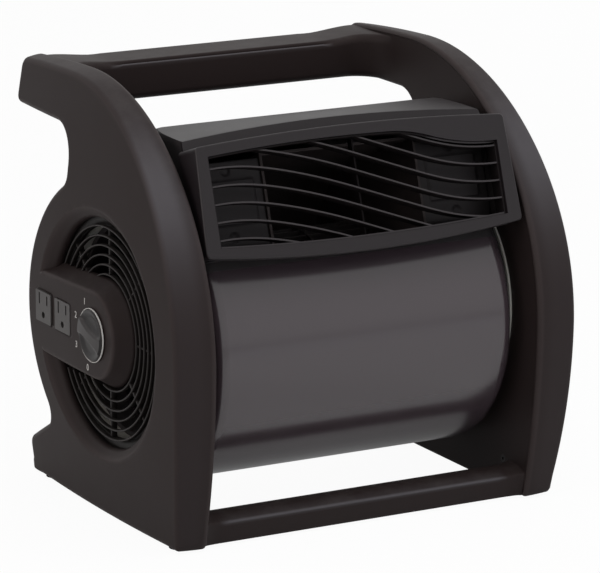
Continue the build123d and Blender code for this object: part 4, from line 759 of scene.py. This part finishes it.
def spine_curve():
    """Line along the middle of the hook, where the skin from its two sides meets, as a cubic curve."""
    t = np.linspace(0, 1, 60)[:, None]
    start, rise, bend, end = np.array([(23.7, 221.6), (20.0, 290.0), (30.0, 303.0), (127.0, 299.0)])
    return (1 - t) ** 3 * start + 3 * t * (1 - t) ** 2 * rise + 3 * t**2 * (1 - t) * bend + t**3 * end


def dish_radius(angle):
    """Radius at which the dish's cone leaves the bowed skin: it grows with the skin's height there."""
    y, z = round_pivot(INLET_R, angle).T
    return CONE_R + CONE_SPREAD * (skin_x(y, z) - CONE_X)


def core_curve():
    """Curve the skin runs in to, and its angles: the dish's edge, and out and back along the spine.

    The angles are nan on the spine.
    """
    spine = spine_curve()
    low = resample(spine, RUN_COLUMNS[1] + 1, 0.0, SPINE_BEND)
    high = resample(spine, RUN_COLUMNS[2] + 1, SPINE_BEND, 1.0)
    tip = np.repeat(high[-1:], RUN_COLUMNS[3] + 1, axis=0)
    spines = {1: low, 2: high, 3: tip, 4: high[::-1], 5: low[::-1]}
    curve, angles = [], []
    for run, columns in enumerate(RUN_COLUMNS):
        if run in spines:
            curve.append(spines[run][:-1])
            angles.append(np.full(columns, np.nan))
        else:
            sweep = np.radians(np.linspace(*CORE_ANGLES[run], columns + 1)[:-1])
            curve.append(round_pivot(dish_radius(sweep) + LIP, sweep))
            angles.append(sweep)
    curve = np.concatenate(curve)
    start = math.radians(SPINE_START_DEG)
    curve[RUN_COLUMNS[0]] = round_pivot(dish_radius(start) + LIP, start)
    return curve, np.concatenate(angles)


FULL_ROOM = 9.0


def rim_room(outline):
    """Share of the rim's full inset at each column: less in hollows too tight to hold it."""
    step = np.linalg.norm(np.roll(outline, -1, axis=0) - np.roll(outline, 1, axis=0), axis=1)
    heading = tangents(outline) @ np.array((1, 1j))
    turn = np.angle(np.roll(heading, -1) / np.roll(heading, 1))
    tightness = -turn / np.maximum(step, 1e-6)
    room = np.clip(0.8 / np.maximum(tightness, 1e-6), 0, FULL_ROOM)
    for _ in range(3):
        room = np.minimum(room, np.minimum(np.roll(room, 1), np.roll(room, -1)) + 0.8)
    return np.clip(room / FULL_ROOM, 0.3, 1.0)


def panel_outline():
    """Outline points, one for each column, the unit direction in from the edge and the rim's room."""
    whole = side_outline()
    marks = run_marks(whole)
    outline = np.concatenate([
        resample(whole, columns + 1, marks[k], marks[k + 1])[:-1]
        for k, columns in enumerate(RUN_COLUMNS)
    ])
    return outline, to_the_right(tangents(outline)), rim_room(outline)


RIM_INNER_R = 3.2
RIM_DRAFT = 1.3
RIM_ROUND = 4.1
BAND_DEPTH = 5.6


def rim_polish(inward):
    """How much painted highlight the rim's face carries: most where it looks forward and a little up, and a
    little wherever it looks forward.
    """
    tilt = np.degrees(np.arctan2(-inward[:, 1], inward[:, 0]))
    facing = smooth(tilt, -40, -5) * (1 - smooth(tilt, 80, 130))
    return 0.08 * facing + 0.75 * np.exp(-(((tilt - 42.0) / 17.0) ** 2))


def rim_rows(edge_x):
    """Section of the rim as (inset, X, edge wear and painted highlight, painted highlight) rows: inner
    round, drafted face, outer round.
    """
    rows = []
    for turn in np.radians(np.linspace(0, 90, 6)):
        x = PANEL_INNER_X + RIM_INNER_R * (1 - math.cos(turn)) + 0 * edge_x
        rows.append((RIM_INNER_R * (1 - math.sin(turn)), x, 0.4, 0.4 * math.sin(turn)))
    start_x = PANEL_INNER_X + RIM_INNER_R
    for share in np.linspace(0, 1, 13)[1:]:
        x = start_x + (edge_x - RIM_ROUND - start_x) * share
        rows.append((RIM_DRAFT * share**1.5, x, 0.0, 0.4 + 0.6 * smooth(share, 0.0, 0.5)))
    for turn in np.radians((15, 30, 45, 60, 75)):
        inset = RIM_DRAFT + (BAND_DEPTH - RIM_DRAFT) * (1 - math.cos(turn))
        x = edge_x - RIM_ROUND * (1 - math.sin(turn))
        rows.append((inset, x, 0.45 * math.sin(turn) ** 2, math.cos(turn)))
    return rows


def side_panel(tongue):
    """A panel as one sheet: its rim carried round the outline, then the skin drawn in to the core."""
    outline, inward, room = panel_outline()
    core, angles = core_curve()
    band = outline + inward * (BAND_DEPTH * room)[:, None]
    # Painted highlight on the rim's face, strongest where it looks forward and a little up.
    highlight_share = rim_polish(inward)
    rows, wear_and_highlight, polish = [], [], []
    for inset, x, pale_marks, polished in rim_rows(skin_x(band[:, 0], band[:, 1])):
        flat = outline + inward * (inset * room)[:, None]
        rows.append(np.stack([x, flat[:, 0], flat[:, 1]], axis=-1))
        wear_and_highlight.append(pale_marks)
        polish.append(polished * highlight_share)
    share = (np.linspace(0, 1, 24) ** 1.1)[:, None, None]
    skin = on_skin(band + (core - band) * share)
    wear_and_highlight += [0.15] + [0.0] * (len(skin) - 1)
    polish += [0.0 * highlight_share] * len(skin)
    points = np.concatenate([np.array(rows), skin])
    sheet = Sheet().grid(points, wear_and_highlight, closed=True, polish=np.array(polish))
    funnel(sheet, angles, tongue)
    if tongue:
        tongue_sheet(sheet)
    return sheet


def funnel_rows(sweep):
    """Section of the dished inlet as (radius, X, edge wear and painted highlight) rows: a soft lip, a cone
    and a short throat.
    """
    rim = dish_radius(sweep)
    top = skin_x(*round_pivot(rim + LIP, sweep).T)
    cone_r, cone_x = rim - 1.2, top - 2.1
    rows = [(rim + LIP, top, 0.3)]
    for share in (0.3, 0.6, 0.85):
        rows.append((rim + LIP * (1 - share) - 0.2, top - 1.5 * share**1.8, 0.5))
    rows.append((cone_r, cone_x, 0.2))
    for share in (0.35, 0.7, 0.92):
        radius = cone_r + (CONE_FOOT_R - cone_r) * share
        rows.append((radius, cone_x + (CONE_FOOT_X - cone_x) * share, 0.0))
    return rows + [(*throat, 0.0) for throat in THROAT]


def funnel(sheet, angles, tongue):
    """The dished inlet, all round or only outside the tongue."""
    bulge = sum(RUN_COLUMNS[:6])
    start = [math.radians(SPINE_START_DEG)]
    sweep = np.unwrap(np.concatenate([angles[bulge:], angles[:RUN_COLUMNS[0]], start]))
    arcs = [sweep]
    if tongue:
        arcs = [sweep[sweep >= JOIN_TOP - 1e-9], sweep[sweep <= JOIN_LOW + 1e-9]]
    for arc in arcs:
        rows = funnel_rows(arc)
        sheet.grid(turned([row[:2] for row in rows], arc), [row[2] for row in rows])


# Edge of the tongue as (move out, drop, edge wear and painted highlight): a rounded crest, then a flaring
# side.
TONGUE_EDGE = [(0, 0, 0.4), (0.9, 0.15, 0.6), (1.6, 0.55, 0.6), (2.2, 1.2, 0.4), (2.7, 2.2, 0.1)]
TONGUE_EDGE += [(2.7 + flared(s), 2.2 + 12.6 * s, 0.0) for s in (0.2, 0.4, 0.6, 0.8, 1.0)]


def tongue_sheet(sheet):
    """The control tongue: straight lines from the dish's rear edge to a round nose, then a skirt.

    The skirt carries one section, a rounded crest and a flaring side, round the top's edge.
    """
    columns = RUN_COLUMNS[7] + 1
    angle = np.linspace(JOIN_TOP, JOIN_LOW, columns)
    root = round_pivot(dish_radius(angle) + LIP, angle)
    nose = round_pivot(CREST_HALF, np.radians(np.linspace(90, 270, columns)))
    flat = root + (nose - root) * np.linspace(0, 1, 25)[:, None, None]
    sheet.grid(on_skin(flat))
    path = np.concatenate([flat[:, 0], flat[-1, 1:-1], flat[::-1, -1]])
    outward = to_the_right(tangents(path, closed=False))
    top = skin_x(path[:, 0], path[:, 1])
    rows = []
    for offset, drop, _ in TONGUE_EDGE:
        moved = path + outward * offset
        rows.append(np.stack([top - drop, moved[:, 0], moved[:, 1]], axis=-1))
    sheet.grid(np.array(rows), [row[2] for row in TONGUE_EDGE])


OUTLET_SPOTS = ((63.0, 142.0), (30.5, 142.0))
OUTLET_WINDOW = (26.0, 24.0)
TONGUE_SKIN_X = -166.0


def skin_near(work, spot, reach):
    """Faces of the tongue's skin whose middles lie within a reach in Y and Z of a spot."""
    middles = [(face, face.calc_center_median()) for face in work.faces]
    return [
        face
        for face, middle in middles
        if middle.x < TONGUE_SKIN_X * MM
        and abs(middle.y / MM - spot[0]) < reach[0]
        and abs(middle.z / MM - spot[1]) < reach[1]
    ]


def cut_windows(made):
    """Cut rectangular windows for the outlets through the tongue's face, side by side."""
    work = bmesh.new()
    work.from_mesh(made.data)
    halves = [size / 2 for size in OUTLET_WINDOW]
    for spot in OUTLET_SPOTS:
        for axis in (0, 1):
            for side in (-1, 1):
                near = skin_near(work, spot, OUTLET_WINDOW)
                corners = dict.fromkeys(corner for face in near for corner in face.verts)
                edges = dict.fromkeys(edge for face in near for edge in face.edges)
                at, normal = [0, 0, 0], [0, 0, 0]
                at[axis + 1] = (spot[axis] + side * halves[axis]) * MM
                normal[axis + 1] = 1
                cut = [*corners, *edges, *near]
                bmesh.ops.bisect_plane(work, geom=cut, plane_co=at, plane_no=normal, dist=1e-6)
        bmesh.ops.delete(work, geom=skin_near(work, spot, halves), context="FACES")
    work.to_mesh(made.data)
    work.free()


right_panel = side_panel(tongue=False)
right_shell = right_panel.piece("side_panel_right_shell", "casing", "frame", "side_panel_right")
wall(right_shell, PANEL_WALL)
left_panel = side_panel(tongue=True).mirrored()
left_shell = left_panel.piece("side_panel_left_shell", "casing", "frame", "side_panel_left")
cut_windows(left_shell)
wall(left_shell, PANEL_WALL)

# ---------------------------------------------------------------- handle


def end_fillet(distance, reach):
    """Share of a fillet's height at a distance from its wall: a quarter circle, 0 past its reach."""
    t = np.clip(1 - distance / reach, 0, 1)
    return 1 - np.sqrt(1 - t * t)


def end_steps(reach):
    """Places along X from the left wall to the right one, close together in both fillets."""
    near = PANEL_INNER_X - reach * (1 - np.sin(np.linspace(0, math.pi / 2, 22)))
    right = np.concatenate([near, [PANEL_INNER_X + 1.5, PANEL_INNER_X + 3.0]])
    middle = np.linspace(-near[0], near[0], 40)[1:-1]
    return np.concatenate([-right[::-1], middle, right])


def capped(sheet, body):
    """Close both ends of a lofted bar on their middles."""
    centre = body.mean(axis=1, keepdims=True)
    around = body.shape[1]
    sheet.grid(np.concatenate([centre[:1].repeat(around, 1), body[:1]]), closed=True)
    return sheet.grid(np.concatenate([body[-1:], centre[-1:].repeat(around, 1)]), closed=True)


HANDLE_FILLET = 26.0
HANDLE_FRONT, HANDLE_REAR = 98.0, 140.5
HANDLE_LOW, HANDLE_TOP = 282.8, 313.0
HANDLE_CORNER = 6.0
CAP_HALF = 88.0
CAP_FADE = 4.0

# Top edge of the handle as (offset in from its side, drop from its top): cap, groove, shell's rim.
CAP_EDGE = (
    (6.0, 0.0), (3.8, 0.0), (3.1, 0.1), (2.6, 0.4), (2.3, 1.0), (2.2, 1.8), (2.2, 3.4),
    (1.5, 3.4), (1.5, 2.7), (1.25, 2.35), (0.75, 2.4), (0.25, 2.8), (0.0, 3.5), (0.0, 6.0),
)
# Painted highlight along the shell's rim below the groove, one value for each point of the top edge.
CAP_HIGHLIGHT = (0, 0, 0, 0, 0, 0, 0, 0, 0.6, 1.0, 1.0, 0.7, 0.1, 0)


def cap_edge(corner, fade):
    """The top edge at each place along the bar, eased from the shaped one into a plain round."""
    turn = np.radians(np.linspace(0, 90, len(CAP_EDGE)))[:, None]
    plain = np.stack([corner * (1 - np.sin(turn)), corner * (1 - np.cos(turn))])
    shaped = np.array(CAP_EDGE).T[:, :, None]
    return plain + (shaped - plain) * fade


def low_corner(side, inwards, low, corner, degrees):
    """Place (Y, Z) on a round low corner, by the turn from its side (0) down to its underside (90)."""
    turn = math.radians(degrees)
    return side + inwards * corner * (1 - math.cos(turn)), low + corner * (1 - math.sin(turn))


def handle():
    """A rounded bar along X that flares forward into the hooks, with a cap set in its top.

    Its section goes over both shaped top edges and round both low corners, straight in between.
    """
    x = end_steps(HANDLE_FILLET)
    beside = np.abs(x)
    flare = end_fillet(PANEL_INNER_X - beside, HANDLE_FILLET)
    front, rear = HANDLE_FRONT - 30.0 * flare, HANDLE_REAR + 1.0 * flare
    low, high = HANDLE_LOW - 1.2 * flare, HANDLE_TOP + 3.5 * smooth(beside, CAP_HALF, 132.0)
    corner = HANDLE_CORNER + 3.0 * flare
    fade = 1 - smooth(beside, CAP_HALF, CAP_HALF + CAP_FADE)
    inset, drop = cap_edge(corner, fade)
    turns = (2, 12, 25, 38, 52, 65, 78, 88)
    loop = [(rear - inset[k], high - drop[k]) for k in reversed(range(len(CAP_EDGE)))]
    loop += [(front + inset[k], high - drop[k]) for k in range(len(CAP_EDGE))]
    loop += [low_corner(front, 1, low, corner, turn) for turn in turns]
    loop += [low_corner(rear, -1, low, corner, 90 - turn) for turn in turns]
    # Painted highlight on the shell's rim, faded out towards the hooks.
    polish = [share * fade for share in (*CAP_HIGHLIGHT[::-1], *CAP_HIGHLIGHT)] + [0.0 * x] * (2 * len(turns))
    body = np.array([np.stack([x, y, z], axis=-1) for y, z in loop]).swapaxes(0, 1)
    body, polish = body[:, ::-1], np.array(polish).T[:, ::-1]
    return capped(Sheet().grid(body, closed=True, polish=polish), body)


handle().piece("carrying_handle", "casing", "frame", "handle_lower_shell", "handle_top_cap", sharp=50)

# ---------------------------------------------------------------- front crossbar

TIE_FILLET = 14.0

# Section of the tie bar as (Y, Z, how far it flares along Y, painted highlight), from its low rear edge
# forwards.
TIE_SECTION = (
    (-98.6, 6.0, 0, 0), (-98.8, 3.6, 0, 0), (-100.2, 1.7, 0, 0), (-102.0, 1.4, 0, 0),
    (-114.0, 1.3, 0, 0), (-117.6, 1.3, -1, 0), (-119.0, 1.7, -2, 0), (-119.8, 3.2, -3, 0),
    (-122.6, 15.0, -5, 0), (-123.2, 16.8, -5, 0.3), (-123.3, 18.0, -5, 1.0), (-122.9, 18.6, -5, 0.8),
    (-121.6, 19.3, -4, 0.2), (-114.5, 22.0, -2, 0), (-112.0, 22.5, 0, 0), (-105.0, 22.5, 0, 0),
    (-103.0, 22.2, 0, 0), (-101.6, 20.9, 0, 0), (-101.2, 19.0, 0, 0),
)


def front_crossbar():
    """A bar along X with a sharp front ridge painted with a pale highlight, flaring into the feet."""
    x = end_steps(TIE_FILLET)
    beside = np.abs(x)
    flare = end_fillet(PANEL_INNER_X - beside, TIE_FILLET)
    y, z, forward, pale_marks = np.array(TIE_SECTION).T[:, :, None]
    rise = np.where(z < 10, 0.0, 3.0)
    body = np.stack([x + 0 * y, y + forward * flare, z + rise * flare], axis=-1).swapaxes(0, 1)
    # Painted highlight along the front ridge, faded out near the panels.
    polish = (pale_marks * (1 - smooth(beside, 112, 122))).T
    return capped(Sheet().grid(body, closed=True, polish=polish), body)


front_crossbar().piece("front_tie_bar", "casing", "frame", "front_crossbar", sharp=60)

# ---------------------------------------------------------------- inlet grilles

RING_R = 78.6
RING_PITCH = 7.15
RING_FACE_X = 158.6
RING_SET_BACK = 0.4
RING_HALF = 0.75
RING_DEPTH = 3.6
TONGUE_CLEAR_TOP, TONGUE_CLEAR_LOW = 37.6, 41.3

# Section of a ring as (share of its half width, X from its face), and the painted highlight of each point.
RING_SECTION = (
    (-1, -RING_DEPTH), (-1, -0.8), (-0.75, -0.3), (-0.3, -0.05), (0.3, -0.05),
    (0.75, -0.3), (1, -0.8), (1, -RING_DEPTH), (-1, -RING_DEPTH),
)
RING_HIGHLIGHT = (0.0, 0.1, 0.9, 1.0, 1.0, 0.9, 0.1, 0.0, 0.0)

# Section of the flange as (radius, X), and of a spoke as (distance to the side, X).
FLANGE_SECTION = (
    (78.0, 151.0), (78.0, 153.6), (78.4, 154.0), (92.6, 154.0), (93.0, 153.6), (93.0, 151.0), (78.0, 151.0)
)
SPOKE_SECTION = (
    (-0.9, 151.2), (-0.9, 155.2), (-0.5, 155.8), (0.5, 155.8), (0.9, 155.2), (0.9, 151.2), (-0.9, 151.2)
)
# Painted highlight on the spokes' fronts.
SPOKE_HIGHLIGHT = (0, 0.2, 0.5, 0.5, 0.2, 0, 0)
SPOKE_END = 79.0


def grille_rings(sheet, tongue):
    """Six thin bars with round fronts, carried round the axis, whole or round to each side of the tongue.

    Each is set a little deeper than the one outside it.
    """
    for step in range(6):
        radius = RING_R - RING_PITCH * step
        face_x = RING_FACE_X - RING_SET_BACK * step
        angle = np.linspace(-math.pi, math.pi, 121)
        if tongue:
            start = math.asin(TONGUE_CLEAR_TOP / radius)
            angle = np.linspace(start, math.tau - math.asin(TONGUE_CLEAR_LOW / radius), 105)
        section = [(radius + RING_HALF * share, face_x + x) for share, x in RING_SECTION]
        sheet.bar(turned(section, angle), RING_HIGHLIGHT, ends=tongue)


def grille_flange(sheet, tongue):
    """A flat band round the rings, whole or open behind the tongue."""
    angle = np.linspace(0, math.tau, 145)
    if tongue:
        angle = np.linspace(math.radians(24), math.radians(360 - 27), 131)
    sheet.bar(turned(FLANGE_SECTION, angle), ends=tongue)


def spoke_start(angle, tongue):
    """Radius at which a spoke starts: on the hub, or where it comes out from under the tongue."""
    if not tongue:
        return 36.0
    if math.cos(angle) < 0.5:
        return 42.0
    return 54.0 if math.sin(angle) > 0 else 59.0


def grille_spokes(sheet, tongue):
    """Eight straight bars behind the rings; the rear one is left out where the tongue covers it."""
    for spoke in range(1 if tongue else 0, 8):
        angle = math.radians(45 * spoke)
        along = np.array([math.cos(angle), math.sin(angle)])
        across = np.array([-along[1], along[0]])
        out = np.linspace(spoke_start(angle, tongue), SPOKE_END, 6)
        rows = []
        for side, x in SPOKE_SECTION:
            spot = PIVOT[1:] + out[:, None] * along + side * across
            rows.append(np.stack([x + 0 * out, spot[:, 0], spot[:, 1]], axis=-1))
        sheet.bar(np.array(rows), SPOKE_HIGHLIGHT, flip=True)


def grille(tongue):
    """Rings, flange and spokes as one sheet."""
    sheet = Sheet()
    grille_rings(sheet, tongue)
    grille_flange(sheet, tongue)
    grille_spokes(sheet, tongue)
    return sheet


def hub_cap(sheet):
    """Hub of the right grille: a flat crown, a round shoulder and a flaring skirt, turned round the axis."""
    section = [(0.0, 169.9), (14.0, 169.9), (27.0, 169.7), (29.6, 169.3)]
    section += [(31.2, 168.4), (32.2, 167.0), (33.0, 165.4)]
    section += [(33.0 + flared(s), 165.4 - 10.2 * s) for s in (0.25, 0.5, 0.75, 1.0)]
    section += [(36.0, 155.0), (36.0, 151.0), (0.0, 151.0)]
    # Painted highlight round the hub's shoulder.
    pale_marks = [0, 0, 0.2, 0.5, 0.6, 0.4, 0.1] + [0.0] * 7
    return sheet.grid(turned(section, np.linspace(0, math.tau, 97)), pale_marks)


right_grille = hub_cap(grille(tongue=False))
right_grille.piece("inlet_grille_right_rings", "grille", "frame", "inlet_grille_right", sharp=50)
left_grille = grille(tongue=True).mirrored()
left_grille.piece("inlet_grille_left_rings", "grille", "frame", "inlet_grille_left", sharp=50)

# ---------------------------------------------------------------- baffles

BAFFLE_WALL = 1.4
BAFFLE_NEAR_X = 64.3
BAFFLE_FACE = 94.4


def baffle():
    """A plate beside the scroll's mouth: raised middle, two dimples and a foot that leans back.

    It is a distance ahead of the pivot, over X and the height above the pivot.
    """
    above = np.linspace(29.0, 107.0, 70)[:, None]
    far = 113.0 + 7.0 * smooth(above, 34, 50)
    x = BAFFLE_NEAR_X + (far - BAFFLE_NEAR_X) * np.linspace(0, 1, 50)[None]
    raised = smooth(x, 70, 72) * (1 - smooth(x, 111, 113))
    raised = raised * smooth(above, 60, 62) * (1 - smooth(above, 92, 94))
    ahead = BAFFLE_FACE + 1.5 * raised - 0.35 * np.clip(46.0 - above, 0, None)
    for middle in (52.0, 100.0):
        ahead = ahead - 1.6 * (1 - smooth(np.hypot(x - 92.0, above - middle), 2.6, 4.2))
    across = x[..., None] * (1, 0, 0)
    return Sheet().grid(PIVOT + across + ahead[..., None] * AHEAD + above[..., None] * ABOVE, flip=True)


wall(baffle().piece("baffle_right_plate", "duct", "head", "baffle_right"), BAFFLE_WALL)
wall(baffle().mirrored().piece("baffle_left_plate", "duct", "head", "baffle_left"), BAFFLE_WALL)

# ---------------------------------------------------------------- knob and dial

KNOB_BASE_X = 170.6
KNOB_R = 19.4
KNOB_FACE_R = 18.2
GRIP_REACH = 18.5
POINTER = math.radians(17.0)


def knob_body():
    """A disc whose height over radius and angle is two scooped hollows beside a waisted grip."""
    radius = np.concatenate([np.linspace(0, KNOB_FACE_R, 36), [18.8, 19.2, KNOB_R]])[:, None]
    angle = np.linspace(0, math.tau, 145)[None]
    y, z = radius * np.cos(angle), radius * np.sin(angle)
    ends = ((y * math.cos(POINTER) + z * math.sin(POINTER)) / GRIP_REACH) ** 2
    across = np.abs(z * math.cos(POINTER) - y * math.sin(POINTER))
    half = 3.6 + 2.6 * ends
    grip = 1 - smooth(across, half - 0.7, half + 1.6)
    crown = 3.75 - 0.9 * ends
    scoop = 0.95 - 0.75 * smooth(across, 4.5, 9.5) + 1.5 * smooth(radius, 12.5, 18.0)
    fall = smooth(radius, KNOB_FACE_R, KNOB_R)
    height = (scoop + (crown - scoop) * grip) * (1 - fall) + 0.2 * fall
    rows = np.stack([KNOB_BASE_X + height, PIVOT[1] + y, PIVOT[2] + z], axis=-1)
    # Painted highlight on the grip's crest and along the edges of its hollows.
    pale_marks = (0.55 * grip + 0.5 * np.exp(-((across - half - 0.2) ** 2) / 0.5)) * (radius < 18)
    foot = rows[-1:].copy()
    foot[..., 0] = KNOB_BASE_X
    centre = np.broadcast_to((KNOB_BASE_X, *PIVOT[1:]), foot.shape)
    return Sheet().grid(rows, pale_marks).grid(np.concatenate([rows[-1:], foot, centre]))


def knob_trim():
    """The pale rim: a half round section turned round the axis."""
    section = [(19.4, 170.6), (19.4, 171.3), (19.5, 171.5), (19.7, 171.6)]
    section += [(19.9, 171.5), (20.0, 171.2), (20.0, 170.6), (19.4, 170.6)]
    return Sheet().grid(turned(section, np.linspace(0, math.tau, 129)))


knob_body().mirrored().piece("speed_knob_grip", "knob", "knob", "speed_knob", sharp=40)
knob_trim().mirrored().piece("knob_trim_ring", "print", "knob", "knob_ring", sharp=40)

DIAL_SIZE = 7.0
DIAL_EXTRUDE = 0.1
DIAL_RAISE = 0.08
DIAL_NUMBERS = (("1", -7.2, 161.8), ("2", 7.6, 148.6), ("3", 7.2, 126.4), ("0", -11.0, 113.2))


def flat_word(word):
    """A word as a thin mesh about the origin, its right along X and its top along Y."""
    data = bpy.data.curves.new("dial_" + word, "FONT")
    data.body = word
    data.size = DIAL_SIZE * MM
    data.align_x, data.align_y = "CENTER", "CENTER"
    data.extrude = DIAL_EXTRUDE * MM
    made = bpy.data.objects.new("flat_word", data)
    scene.collection.objects.link(made)
    bpy.context.view_layer.update()
    mesh = bpy.data.meshes.new_from_object(made)
    bpy.data.objects.remove(made)
    return mesh


def dial_number(word, y, z):
    """A plain dial number, raised a hair's breadth on the tongue's face.

    The word's right runs forward, along -Y, on the face that looks along -X.
    """
    mesh = flat_word(word)
    flat = np.empty(len(mesh.vertices) * 3, np.float32)
    mesh.vertices.foreach_get("co", flat)
    right, up, out = flat.reshape(-1, 3).T / MM
    placed = np.stack([-(skin_x(y, z) + DIAL_RAISE + out), y - right, z + up], axis=-1)
    mesh.vertices.foreach_set("co", (placed * MM).astype(np.float32).reshape(-1))
    mesh.update()
    work = bmesh.new()
    work.from_mesh(mesh)
    bmesh.ops.remove_doubles(work, verts=work.verts, dist=1e-6)
    bmesh.ops.recalc_face_normals(work, faces=work.faces)
    work.to_mesh(mesh)
    work.free()
    mesh.materials.clear()
    mesh.materials.append(FINISHES["print"])
    made = bpy.data.objects.new("dial_number_" + word, mesh)
    scene.collection.objects.link(made)
    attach(made, "frame")


for word, y, z in DIAL_NUMBERS:
    dial_number(word, y, z)
